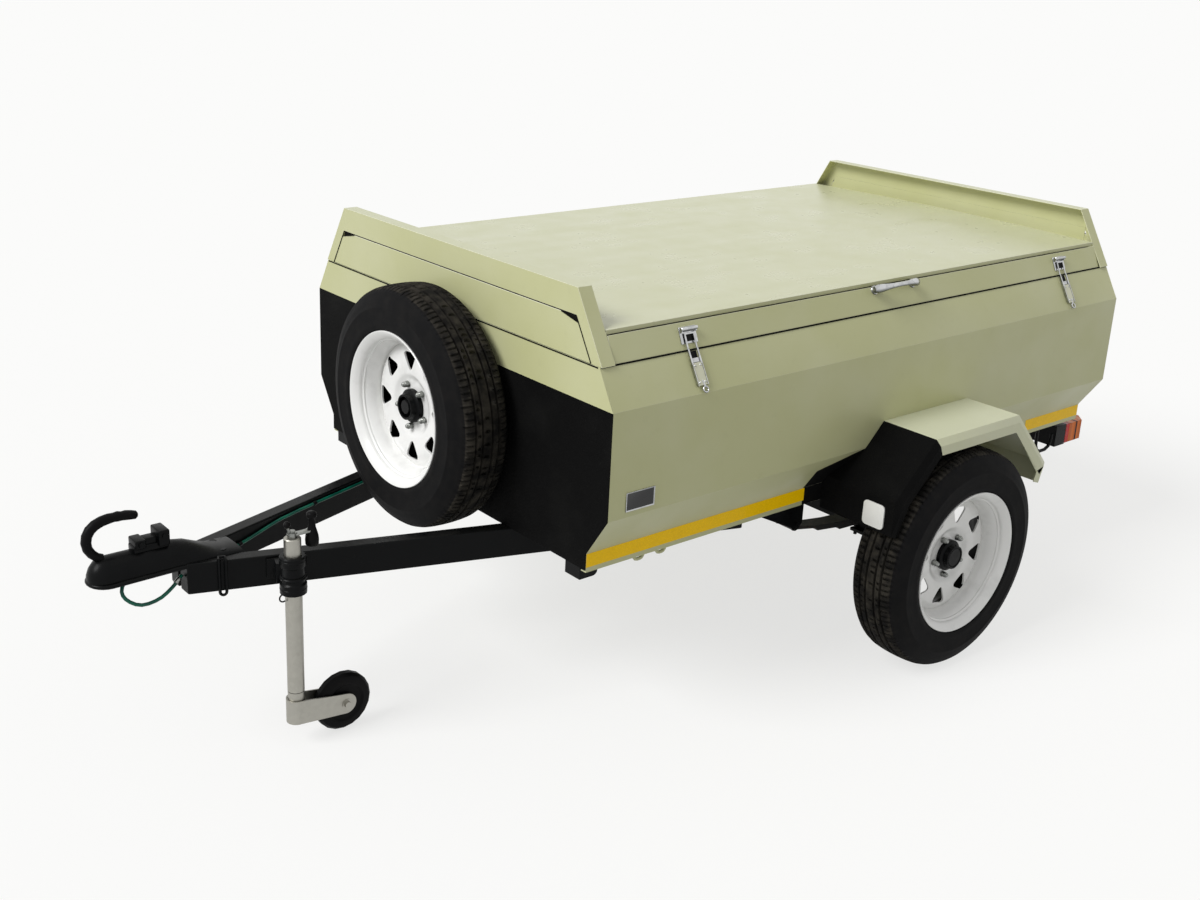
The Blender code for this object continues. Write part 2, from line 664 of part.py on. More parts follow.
def tyre_profile():
    """The tyre's section: tread, shoulders, bulged walls and beads, listed clockwise."""
    half = TYRE_WIDTH / 2
    play = SEAT * 2
    upper = [(RIM_BEAD_RADIUS + SEAT, RIM_LIP_HEIGHT - RIM_SHOULDER - play),
             (RIM_LIP_RADIUS + SEAT, RIM_LIP_HEIGHT - RIM_FLANGE - play),
             (RIM_LIP_RADIUS + 0.002, RIM_LIP_HEIGHT), (0.222, half),
             (TYRE_RADIUS - 0.024, half - 0.009), (TYRE_RADIUS, half - 0.026)]
    lower = [(radius, -height) for radius, height in reversed(upper)]
    return upper + lower


def build_wheels():
    """Both road wheels with their hubs, and the spare on its carrier."""
    spare_x = TUB_FRONT - SPARE_STAND_OFF - TYRE_WIDTH / 2
    spare = upright_wheel((spare_x, 0, SPARE_Z), 90)
    places = [(name, wheel_frame(side)) for name, side in SIDES] + [("spare", spare)]
    for name, frame in places:
        rim = turned(f"rim_{name}", rim_profile(), frame, WHITE)
        cut(rim, window_cutter(f"windows {name}", frame))
        turned(f"tyre_{name}", tyre_profile(), frame, RUBBER)
    disc_back = DISC_OFFSET - DISC_DISH - RIM_SHEET - SEAT
    inboard = AXLE_HALF + RUNNING_GAP - WHEEL_Y
    bore_end = inboard + SPINDLE_LENGTH + RUNNING_GAP
    cap_end = disc_back + HUB_CAP_REACH
    pilot = HUB_BORE_RADIUS - HUB_PLAY
    for name, side in SIDES:
        profile = [(0, cap_end), (pilot - 0.004, cap_end), (pilot, cap_end - 0.008), (pilot, disc_back),
                   (HUB_FLANGE_RADIUS, disc_back), (HUB_FLANGE_RADIUS, disc_back - 0.010),
                   (HUB_BARREL_RADIUS, disc_back - 0.012), (HUB_BARREL_RADIUS, inboard),
                   (SPINDLE_RADIUS + SEAT, inboard), (SPINDLE_RADIUS + SEAT, bore_end), (0, bore_end)]
        turned(f"hub_{name}", profile, wheel_frame(side), BLACK, steps=20)
    base = spare_x - TUB_FRONT + SEAT
    profile = [(0, disc_back + 0.016), (pilot, disc_back + 0.014), (pilot, disc_back),
               (HUB_FLANGE_RADIUS, disc_back), (HUB_FLANGE_RADIUS, disc_back - CARRIER_PLATE),
               (HUB_BARREL_RADIUS, disc_back - CARRIER_PLATE), (HUB_BARREL_RADIUS, base + CARRIER_PLATE),
               (CARRIER_BASE_RADIUS, base + CARRIER_PLATE), (CARRIER_BASE_RADIUS, base), (0, base)]
    turned("spare_carrier", profile, spare, BLACK, steps=20)


def build_axle():
    """The square axle beam with its spindles and clamps, and the leaf springs on it."""
    beam_top = AXLE_Z + AXLE_SIZE / 2
    beam = box("axle_beam", (-AXLE_SIZE / 2, AXLE_SIZE / 2), (-AXLE_HALF, AXLE_HALF),
               (AXLE_Z - AXLE_SIZE / 2, beam_top), BLACK)
    pack_low = beam_top + SEAT
    pack_top = pack_low + LEAF * len(LEAF_HALF_LENGTHS)
    for name, side in SIDES:
        spindle = rod(f"spindle {name}", (0, side * (AXLE_HALF - AXLE_SIZE / 2), AXLE_Z),
                      (0, side * (AXLE_HALF + RUNNING_GAP + SPINDLE_LENGTH), AXLE_Z), SPINDLE_RADIUS, steps=12)
        weld(beam, spindle, *axle_clamp(name, side * RAIL_Y, pack_top))
        build_spring(name, side * RAIL_Y, pack_low, pack_top)


def build_spring(name, centre, pack_low, pack_top):
    """A pack of three leaves; the top one is rolled into an eye at each end."""
    eye_low = SPRING_EYE_Z - EYE_RADIUS
    flat = CLAMP_HALF + BITE

    def leaf_top(x):
        share = max(abs(x) - flat, 0) / (SPRING_EYE_X - flat)
        return pack_top + (eye_low + LEAF - pack_top) * share ** 2

    meets = math.degrees(math.asin((EYE_RADIUS - LEAF) / EYE_RADIUS))
    rear_eye = arc((SPRING_EYE_X, SPRING_EYE_Z), EYE_RADIUS, 180 + meets, -90, 11)
    front_eye = [(-x, z) for x, z in reversed(rear_eye)]
    rising = [(x, leaf_top(x)) for x in (flat, SPRING_EYE_X * 0.33, SPRING_EYE_X * 0.55, SPRING_EYE_X * 0.77)]
    top = [(-x, z) for x, z in reversed(rising)] + rising
    under = []
    for depth, half in enumerate(LEAF_HALF_LENGTHS[1:], start=1):
        short = half - LEAF_TAPER
        under += [(half, leaf_top(half) - LEAF * depth), (short, leaf_top(short) - LEAF * (depth + 1))]
    under.append((flat, pack_low))
    under += [(-x, z) for x, z in reversed(under)]
    bores = [arc((end * SPRING_EYE_X, SPRING_EYE_Z), BOLT_RADIUS + SEAT * 3, 0, 315, 8) for end in (FRONT, REAR)]
    half_width = SPRING_WIDTH / 2
    plate(f"leaf_spring_{name}", [front_eye + top + rear_eye + under, *bores], "Y",
          centre - half_width, centre + half_width, SPRING_STEEL)


def axle_clamp(name, centre, pack_top):
    """Top and bottom plates with four rods, which clamp a spring to the axle."""
    reach_x = AXLE_SIZE / 2 + U_BOLT_RADIUS + BITE
    reach_y = SPRING_WIDTH / 2 + U_BOLT_RADIUS + BITE
    low = AXLE_Z - AXLE_SIZE / 2 + BITE / 2
    x_range = (-CLAMP_HALF, CLAMP_HALF)
    y_range = (centre - reach_y - CLAMP_EDGE, centre + reach_y + CLAMP_EDGE)
    base = box(f"clamp base {name}", x_range, y_range, (low - CLAMP_PLATE, low))
    cap = box(f"clamp cap {name}", x_range, y_range, (pack_top + SEAT, pack_top + SEAT + CLAMP_PLATE))
    tail = CLAMP_PLATE + U_BOLT_RADIUS * 2
    rods = [rod(f"clamp rod {name} {u} {v}", (u * reach_x, centre + v * reach_y, low - tail),
                (u * reach_x, centre + v * reach_y, pack_top + tail), U_BOLT_RADIUS, steps=6)
            for u in (FRONT, REAR) for v in (LEFT, RIGHT)]
    return [base, *rods, cap]


def guard_profile():
    """The mudguard's side view, with a point wherever the tub's flank changes slope."""
    points = []
    breaks = (SILL_TOP_Z, FLANK_LOW_Z)
    for (x0, z0), (x1, z1) in zip(GUARD_CORNERS, GUARD_CORNERS[1:]):
        points.append((x0, z0))
        levels = sorted((z for z in breaks if min(z0, z1) < z < max(z0, z1)), reverse=z0 > z1)
        for z in levels:
            points.append((x0 + (x1 - x0) * (z - z0) / (z1 - z0), z))
    points.append(GUARD_CORNERS[-1])
    return points


def build_mudguards():
    """Folded mudguards with a chamfered, lipped outer edge."""
    profile = guard_profile()
    rows = [(None, 0.0), (GUARD_OUTER_Y - 0.010, 0.0), (GUARD_OUTER_Y, GUARD_CHAMFER),
            (GUARD_OUTER_Y, GUARD_CHAMFER + GUARD_LIP)]
    for name, side in SIDES:
        work = bmesh.new()
        grid = []
        for y, drop in rows:
            moved = offset_path(profile, -drop)
            moved[0] = (profile[0][0] + drop * GUARD_LIP_TAPER, profile[0][1])
            grid.append([work.verts.new((x, side * (flank_half(z0) + SEAT if y is None else y), z))
                         for (x, z), (x0, z0) in zip(moved, profile)])
        for row, following in zip(grid, grid[1:]):
            for index in range(len(row) - 1):
                corners = (row[index], row[index + 1], following[index + 1], following[index])
                work.faces.new(corners)
        bmesh.ops.recalc_face_normals(work, faces=work.faces)
        top_face = max(work.faces, key=lambda face: face.calc_center_median().z)
        top_face.normal_update()
        if top_face.normal.z < 0:
            bmesh.ops.reverse_faces(work, faces=work.faces)
        mesh = bpy.data.meshes.new(f"mudguard_{name}")
        work.to_mesh(mesh)
        work.free()
        guard = add(f"mudguard_{name}", mesh, KHAKI)
        modifier = guard.modifiers.new("Sheet", "SOLIDIFY")
        modifier.thickness = GUARD_SHEET
        modifier.offset = -1.0
        modifier.use_even_offset = True


def build_lid():
    """The crowned top, its skirts, the raised end frames and the inset end panels."""
    front = LID_FRONT + SEAT
    rear = LID_REAR - SEAT
    half = LID_EDGE_HALF
    crown = [(y, LID_EDGE_Z + LID_CROWN * (1 - (y / half) ** 2))
             for y in [half * step / 4 for step in range(-4, 5)]]
    path = [(-half, LID_EDGE_Z - LID_BEAD)] + crown + [(half, LID_EDGE_Z - LID_BEAD)]
    folded_sheet("lid_top", path, "X", front, rear, -LID_SHEET, KHAKI)
    skirt_top = LID_EDGE_Z - LID_BEAD - SEAT
    slope = (RIM_HALF - LID_EDGE_HALF) / (LID_EDGE_Z - RIM_Z)
    for name, side in SIDES:
        top_y = RIM_HALF - slope * (skirt_top - LID_BASE_Z)
        path = [(side * top_y, skirt_top), (side * RIM_HALF, LID_BASE_Z),
                (side * (RIM_HALF - LID_LIP), LID_BASE_Z)]
        folded_sheet(f"lid_skirt_{name}", path, "X", front, rear, -side * LID_SHEET, KHAKI)
    for name, station, inward in FRAME_STATIONS:
        build_lid_end(name, station, inward)


def frame_half(z):
    """Half the end frame's outer width at a height."""
    share = (z - LID_BASE_Z) / (FRAME_TOP_Z - LID_BASE_Z)
    return FRAME_LOW_HALF + (FRAME_TOP_HALF - FRAME_LOW_HALF) * share


def build_lid_end(name, station, inward):
    """One raised end: a folded frame with flanges, and the panel set in it."""
    face = sorted((station, station + inward * FRAME_SHEET))
    outer = [(-FRAME_LOW_HALF, LID_BASE_Z), (-FRAME_TOP_HALF, FRAME_TOP_Z),
             (FRAME_TOP_HALF, FRAME_TOP_Z), (FRAME_LOW_HALF, LID_BASE_Z)]
    inner_top = FRAME_TOP_Z - FRAME_BORDER
    run = math.hypot(FRAME_TOP_Z - LID_BASE_Z, FRAME_LOW_HALF - FRAME_TOP_HALF)
    border = 0.030 * run / (FRAME_TOP_Z - LID_BASE_Z)
    inner = [(frame_half(LID_BASE_Z) - border, LID_BASE_Z), (frame_half(inner_top) - border, inner_top),
             (-frame_half(inner_top) + border, inner_top), (-frame_half(LID_BASE_Z) + border, LID_BASE_Z)]
    frame = plate(f"lid_frame_{name}", [outer + inner], "X", *face, KHAKI)
    flange = sorted((station, station + inward * FRAME_DEPTH))
    flanges = folded_sheet(f"frame flanges {name}", outer, "X", *flange, -FRAME_SHEET)
    weld(frame, flanges)
    slit = 0.0025
    corner_run = 0.050
    corner_drop = 0.012
    top = inner_top - slit
    low_half = inner[0][0] - SEAT
    top_half = frame_half(top) - border - SEAT
    drop_half = frame_half(top - corner_drop) - border - SEAT
    outline = [(-low_half, LID_BASE_Z), (low_half, LID_BASE_Z), (drop_half, top - corner_drop),
               (top_half - corner_run, top), (corner_run - top_half, top), (-drop_half, top - corner_drop)]
    panel = plate(f"lid_panel_{name}", [outline], "X", *face, KHAKI)
    shelf_z = LID_EDGE_Z - LID_BEAD
    shelf_half = frame_half(shelf_z + 0.002) - border - 0.004
    shelf = box(f"panel shelf {name}", (station + inward * 0.0005, station + inward * FRAME_DEPTH),
                (-shelf_half, shelf_half), (shelf_z, shelf_z + 0.002))
    weld(panel, shelf)


def hinge_knuckle(name, x_range, towards_lid, bored):
    """A hinge knuckle with the tab that runs onto its leaf, above the pin for the lid, else below."""
    rise = HINGE_TAB if towards_lid else -HINGE_TAB
    z = HINGE_Z + rise
    slope = SKIRT_SLOPE if towards_lid else FLANK_SLOPE
    inner = RIM_HALF - slope * (z - RIM_Z) + LEAF_GAP
    sweep = arc((HINGE_Y, HINGE_Z), HINGE_RADIUS, 180, 400 if towards_lid else -40, 7)
    outline = [(inner, z)] + sweep + [(inner + HINGE_LEAF, z)]
    knuckle = plate(name, [outline], "X", *x_range)
    if bored:
        bore = rod(f"bore of {name}", (x_range[0] - 0.001, HINGE_Y, HINGE_Z), (x_range[1] + 0.001, HINGE_Y, HINGE_Z),
                   HINGE_PIN_RADIUS + SEAT, steps=8)
        cut(knuckle, bore)
    return knuckle


def build_lid_hinges():
    """The long hinge on the right flank: a pinned leaf on the tub and a bored leaf on the lid."""
    low = HINGE_STATIONS[0] - 2 * HINGE_KNUCKLE
    high = HINGE_STATIONS[-1] + 2 * HINGE_KNUCKLE
    near = HINGE_RADIUS + 0.0012
    far = near + HINGE_LEAF_WIDTH
    tub_path = [(RIM_HALF + FLANK_SLOPE * (RIM_Z - HINGE_Z + d) + LEAF_GAP, HINGE_Z - d) for d in (near, far)]
    lid_path = [(RIM_HALF - SKIRT_SLOPE * (HINGE_Z - RIM_Z + d) + LEAF_GAP, HINGE_Z + d) for d in (far, near)]
    tub_leaf = folded_sheet("hinge_leaf_tub", tub_path, "X", low, high, HINGE_LEAF, ZINC)
    lid_leaf = folded_sheet("hinge_leaf_lid", lid_path, "X", low, high, HINGE_LEAF, ZINC)
    half = HINGE_KNUCKLE / 2
    play = 0.0005
    for index, x in enumerate(HINGE_STATIONS, start=1):
        middle = hinge_knuckle(f"tub knuckle {index}", (x - half, x + half), False, False)
        pin = rod(f"hinge pin {index}", (x - 3 * half, HINGE_Y, HINGE_Z), (x + 3 * half, HINGE_Y, HINGE_Z),
                  HINGE_PIN_RADIUS, steps=8)
        weld(tub_leaf, middle, pin)
        for end in (-1, 1):
            span = sorted((x + end * (half + play), x + end * (3 * half + play)))
            weld(lid_leaf, hinge_knuckle(f"lid knuckle {index} {end}", span, True, True))


def build_lid_fittings():
    """The handle, and a pull latch near each end: keeper on the lid, lever on the tub."""
    skirt_slope = (RIM_HALF - LID_EDGE_HALF) / (LID_EDGE_Z - RIM_Z)

    def skirt_y(z):
        return -(RIM_HALF - skirt_slope * (z - LID_BASE_Z))

    handle_z = 0.931
    base_y = skirt_y(handle_z)
    low_x = -0.155
    high_x = 0.008
    out = -0.030
    lean = math.atan(skirt_slope)
    normal = Vector((0, -math.cos(lean), math.sin(lean)))
    places = [(low_x + 0.012, 0.0), (low_x + 0.014, 0.012), (low_x + 0.026, 0.026), (low_x + 0.050, -out),
              (high_x - 0.050, -out), (high_x - 0.026, 0.026), (high_x - 0.014, 0.012), (high_x - 0.012, 0.0)]
    foot = Vector((0, base_y, handle_z))
    route = [Vector((x, 0, 0)) + foot + normal * (stand + SEAT + 0.0015) for x, stand in places]
    grip = wire("handle grip", route, 0.0065)
    feet = []
    for x in (low_x + 0.012, high_x - 0.012):
        centre = Vector((x, 0, 0)) + foot
        feet.append(rod("handle foot", centre + normal * (SEAT + 0.0004), centre + normal * 0.005, 0.013, steps=12))
    handle = rod("lid_handle", Vector((low_x + 0.012, 0, 0)) + foot + normal * (SEAT + 0.0004),
                 Vector((low_x + 0.012, 0, 0)) + foot + normal * 0.005, 0.013, CHROME, steps=12)
    weld(handle, grip, feet[1])

    for name, x in (("front", -0.762), ("rear", 0.622)):
        keeper_low = 0.898
        keeper_top = 0.930
        path = [(skirt_y(keeper_top) - 0.013, keeper_top + 0.005), (skirt_y(keeper_top) - 0.0008, keeper_top),
                (skirt_y(keeper_low) - 0.0008, keeper_low)]
        folded_sheet(f"latch_keeper_{name}", path, "X", x - 0.024, x + 0.024, -0.0025, CHROME)
        slope = (FLANK_HALF - RIM_HALF) / (RIM_Z - FLANK_TOP_Z)
        lever_top = 0.872
        lever_low = 0.808

        def flank_y(z):
            return -(RIM_HALF + slope * (RIM_Z - z))

        path = [(flank_y(lever_top) - 0.0006, lever_top), (flank_y(lever_low) - 0.0006, lever_low)]
        lever = folded_sheet(f"latch_lever_{name}", path, "X", x - 0.014, x + 0.014, -0.006, CHROME)
        link = wire(f"latch link {name}",
                    [(x - 0.012, flank_y(lever_top - 0.010) - 0.0045, lever_top - 0.010),
                     (x - 0.012, skirt_y(keeper_low) - 0.009, keeper_low - 0.006),
                     (x + 0.012, skirt_y(keeper_low) - 0.009, keeper_low - 0.006),
                     (x + 0.012, flank_y(lever_top - 0.010) - 0.0045, lever_top - 0.010)], 0.0025, resolution=1)
        weld(lever, link)


def build_lamps():
    """The rear beam with a lamp at each end."""
    low = DRAWBAR_TOP_Z - BEAM_SIZE
    sheet = 0.003
    x0 = BEAM_X - BEAM_SIZE / 2
    x1 = BEAM_X + BEAM_SIZE / 2
    outer = [(x0, low), (x1, low), (x1, DRAWBAR_TOP_Z), (x0, DRAWBAR_TOP_Z)]
    inner = [(x0 + sheet, low + sheet), (x1 - sheet, low + sheet), (x1 - sheet, DRAWBAR_TOP_Z - sheet),
             (x0 + sheet, DRAWBAR_TOP_Z - sheet)]
    reach = LAMP_INNER_Y + 0.001
    beam = plate("rear_beam", [outer, inner], "Y", -reach, reach, BLACK)
    lamp_top = LAMP_LOW_Z + LAMP_HEIGHT
    for name, side in SIDES:
        ys = (side * LAMP_INNER_Y, side * LAMP_OUTER_Y)
        weld(beam, box(f"lamp housing {name}", (x0, LAMP_LENS_X - SEAT), ys, (LAMP_LOW_Z, lamp_top)))
        chamfer = 0.030
        outline = [(LAMP_LENS_X, side * LAMP_INNER_Y), (TAIL_REACH, side * LAMP_INNER_Y),
                   (TAIL_REACH, side * (LAMP_OUTER_Y - chamfer)), (TAIL_REACH - chamfer, side * LAMP_OUTER_Y),
                   (LAMP_LENS_X, side * LAMP_OUTER_Y)]
        plate(f"lamp_lens_{name}", [outline], "Z", LAMP_LOW_Z + 0.002, lamp_top - 0.002, LENS)


def build_jockey():
    """The jockey wheel: clamp on the drawbar, tube with its crank, fork and solid tyre."""
    y = JOCKEY_Y
    wall_y = -drawbar_outer(JOCKEY_X)
    collar = [(JOCKEY_TUBE_RADIUS + SEAT * 2, CLAMP_TOP_Z), (CLAMP_RADIUS - 0.003, CLAMP_TOP_Z), (CLAMP_RADIUS, CLAMP_TOP_Z - 0.003),
              (CLAMP_RADIUS, CLAMP_TOP_Z - 0.022), (CLAMP_RADIUS - 0.004, CLAMP_TOP_Z - 0.026),
              (CLAMP_RADIUS - 0.004, CLAMP_LOW_Z + 0.026), (CLAMP_RADIUS, CLAMP_LOW_Z + 0.022),
              (CLAMP_RADIUS, CLAMP_LOW_Z), (JOCKEY_TUBE_RADIUS + SEAT * 2, CLAMP_LOW_Z)]
    axis = Matrix.Translation((JOCKEY_X, y, 0))
    clamp = turned("jockey_clamp", collar, axis, BLACK, steps=16)
    angle = DRAWBAR_ANGLE
    across = Vector((-math.sin(angle), -math.cos(angle), 0))
    along = Vector((math.cos(angle), -math.sin(angle), 0))
    neck_low = CLAMP_LOW_Z + 0.014
    neck_high = min(CLAMP_TOP_Z - 0.026, DRAWBAR_TOP_Z - 0.006)
    foot = Vector((JOCKEY_X, wall_y, 0)) + across * SEAT
    corners = [foot - along * 0.030, foot + along * 0.030, foot + along * 0.030 + across * 0.006,
               foot + along * 0.014 + across * 0.006,
               foot + along * 0.014 + across * (JOCKEY_STAND_OFF * math.cos(angle) - JOCKEY_TUBE_RADIUS - 0.003),
               foot - along * 0.014 + across * (JOCKEY_STAND_OFF * math.cos(angle) - JOCKEY_TUBE_RADIUS - 0.003),
               foot - along * 0.014 + across * 0.006, foot - along * 0.030 + across * 0.006]
    bracket = plate("clamp bracket", [[(c.x, c.y) for c in reversed(corners)]], "Z", neck_low, neck_high)
    weld(clamp, bracket)

    tube_profile = [(0, JOCKEY_TUBE_TOP_Z), (JOCKEY_TUBE_RADIUS - 0.002, JOCKEY_TUBE_TOP_Z),
                    (JOCKEY_TUBE_RADIUS, JOCKEY_TUBE_TOP_Z - 0.002), (JOCKEY_TUBE_RADIUS, JOCKEY_TUBE_LOW_Z),
                    (0, JOCKEY_TUBE_LOW_Z)]
    turned("jockey_tube", tube_profile, axis, GALVANISED, steps=16)
    crank_z = JOCKEY_TUBE_TOP_Z + SEAT
    crank = rod("jockey_crank", (JOCKEY_X, y, crank_z), (JOCKEY_X, y, crank_z + 0.016), 0.007, ZINC, steps=12)
    arm = box("crank arm", (JOCKEY_X - 0.006, JOCKEY_X + 0.046), (y - 0.006, y + 0.006), (crank_z + 0.010, crank_z + 0.014))
    grip_x = JOCKEY_X + 0.040
    grip_shape = [(0, 0.078), (0.009, 0.077), (0.010, 0.068), (0.0075, 0.056), (0.0085, 0.046),
                  (0.0135, 0.034), (0.0145, 0.022), (0.013, 0.0125), (0, 0.0115)]
    grip = turned("crank grip", grip_shape, Matrix.Translation((grip_x, y, crank_z)), None, steps=12)
    weld(crank, arm, grip)

    fork_top = JOCKEY_TUBE_LOW_Z - SEAT
    wheel_x = JOCKEY_X + JOCKEY_TRAIL
    half = JOCKEY_WHEEL_WIDTH / 2 + 0.004
    strap = 0.004
    strap_height = 0.042
    strap_low = fork_top - 0.004 - strap_height
    outline = ([(JOCKEY_X - 0.022, strap_low), (JOCKEY_X + 0.022, strap_low)]
               + arc((wheel_x, JOCKEY_WHEEL_RADIUS), strap_height / 2, -110, 72, 9)
               + [(JOCKEY_X + 0.024, fork_top - 0.004), (JOCKEY_X - 0.022, fork_top - 0.004)])
    cheek = plate("jockey_fork", [outline], "Y", y - half - strap, y - half, GALVANISED)
    other = plate("fork cheek", [outline], "Y", y + half, y + half + strap)
    bridge = box("fork bridge", (JOCKEY_X - 0.022, JOCKEY_X + 0.024), (y - half - 0.001, y + half + 0.001),
                 (fork_top - 0.008, fork_top - 0.004))
    back = box("fork back", (JOCKEY_X - 0.022, JOCKEY_X - 0.018), (y - half - 0.001, y + half + 0.001),
               (strap_low, fork_top - 0.006))
    collar_rod = rod("fork collar", (JOCKEY_X, y, fork_top - 0.006), (JOCKEY_X, y, fork_top), JOCKEY_TUBE_RADIUS, steps=16)
    axle = rod("fork axle", (wheel_x, y - half - strap - 0.006, JOCKEY_WHEEL_RADIUS),
               (wheel_x, y + half + strap + 0.006, JOCKEY_WHEEL_RADIUS), 0.006, steps=12)
    weld(cheek, other, bridge, back, collar_rod, axle)

    wheel_frame_here = (Matrix.Translation((wheel_x, y, JOCKEY_WHEEL_RADIUS))
                        @ Matrix.Rotation(math.radians(90), 4, "X"))
    half_wheel = JOCKEY_WHEEL_WIDTH / 2
    profile = [(0.0068, half_wheel), (0.016, half_wheel), (0.018, half_wheel - 0.004), (0.042, half_wheel - 0.004),
               (0.046, half_wheel), (JOCKEY_WHEEL_RADIUS - 0.006, half_wheel - 0.003),
               (JOCKEY_WHEEL_RADIUS, half_wheel - 0.010)]
    profile += [(radius, -height) for radius, height in reversed(profile)]
    turned("jockey_wheel", profile, wheel_frame_here, RUBBER, steps=20)


HINGE_Y = RIM_HALF + HINGE_RADIUS + 0.0015
HINGE_Z = RIM_Z + 0.0005
JOCKEY_Y = -(drawbar_outer(JOCKEY_X) + JOCKEY_STAND_OFF)

clear_scene()
PARTS = make_collection("luggage_trailer")
CUTTERS = make_collection("cutters")
build_tub()
build_chassis()
build_drawbar()
build_coupler()
build_safety_gear()
build_wheels()
build_axle()
build_mudguards()
build_lid()
build_lid_hinges()
build_lid_fittings()
build_lamps()
build_jockey()

carrier = bpy.data.objects.new("trailer_axle_station", None)
PARTS.objects.link(carrier)
carrier.location = (AXLE_X, 0, 0)
for piece in list(PARTS.objects) + list(CUTTERS.objects):
    if piece is not carrier:
        piece.parent = carrier
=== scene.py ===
"""Dresses the luggage trailer: its finishes, turned and pressed detail, camera, floor and lights."""

import logging
import math
from collections.abc import Callable, Sequence
from dataclasses import dataclass, field
from enum import Enum

import bmesh
import bpy
from mathutils import Matrix, Vector


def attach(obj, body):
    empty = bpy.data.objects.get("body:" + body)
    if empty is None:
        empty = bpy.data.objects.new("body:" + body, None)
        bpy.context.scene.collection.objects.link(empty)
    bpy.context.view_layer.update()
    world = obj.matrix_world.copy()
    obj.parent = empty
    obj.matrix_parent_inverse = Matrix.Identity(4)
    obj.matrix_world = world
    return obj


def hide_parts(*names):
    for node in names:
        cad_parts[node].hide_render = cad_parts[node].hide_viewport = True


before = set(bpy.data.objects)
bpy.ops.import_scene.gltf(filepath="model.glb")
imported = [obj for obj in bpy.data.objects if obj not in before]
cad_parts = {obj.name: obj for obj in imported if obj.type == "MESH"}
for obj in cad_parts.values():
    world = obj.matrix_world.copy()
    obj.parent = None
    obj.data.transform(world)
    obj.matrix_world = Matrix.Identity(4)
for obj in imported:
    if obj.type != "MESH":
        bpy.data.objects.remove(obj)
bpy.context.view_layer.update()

logging.basicConfig(level=logging.INFO, format="%(message)s")
log = logging.getLogger("trailer")

Point = tuple[float, float]
Spot = tuple[float, float, float]
Work = bmesh.types.BMesh
Socket = bpy.types.NodeSocket
Test = Callable[[Vector, Vector], bool]

AXLE_X = 0.4795
WELD = 0.00001
SIDES = (("left", -1), ("right", 1))


class Body(Enum):
    """The moving bodies of the trailer."""

    TRAILER = "trailer"
    LID = "lid"
    WHEEL_LEFT = "wheel_left"
    WHEEL_RIGHT = "wheel_right"
    JOCKEY_LEG = "jockey_leg"
    JOCKEY_SWIVEL = "jockey_swivel"
    JOCKEY_ROLLER = "jockey_roller"


def linear(code: str) -> tuple[float, float, float, float]:
    """The linear colour of an sRGB hex value.

    Args:
        code: Six hex digits after a hash sign.

    Returns:
        Red, green, blue and a full alpha.
    """
    values = [int(code[place:place + 2], 16) / 255 for place in (1, 3, 5)]
    toned = [v / 12.92 if v <= 0.04045 else ((v + 0.055) / 1.055) ** 2.4 for v in values]
    return (toned[0], toned[1], toned[2], 1.0)


def per_mm(size: float) -> float:
    """The texture scale at which a pattern on Object coordinates repeats about every size millimetres."""
    return 1000.0 / size


def add_node(tree: bpy.types.NodeTree, kind: str, links: dict | None = None,
             values: dict | None = None, **settings: object) -> bpy.types.Node:
    """Adds a node with its settings, socket values and incoming links.

    Args:
        tree: The node tree.
        kind: The node's type.
        links: Input socket to the output socket that feeds it.
        values: Input socket to its value.
        settings: Attributes of the node.

    Returns:
        The new node.
    """
    node = tree.nodes.new(kind)
    for name, value in settings.items():
        setattr(node, name, value)
    for socket, value in (values or {}).items():
        node.inputs[socket].default_value = value
    for socket, source in (links or {}).items():
        tree.links.new(source, node.inputs[socket])
    return node


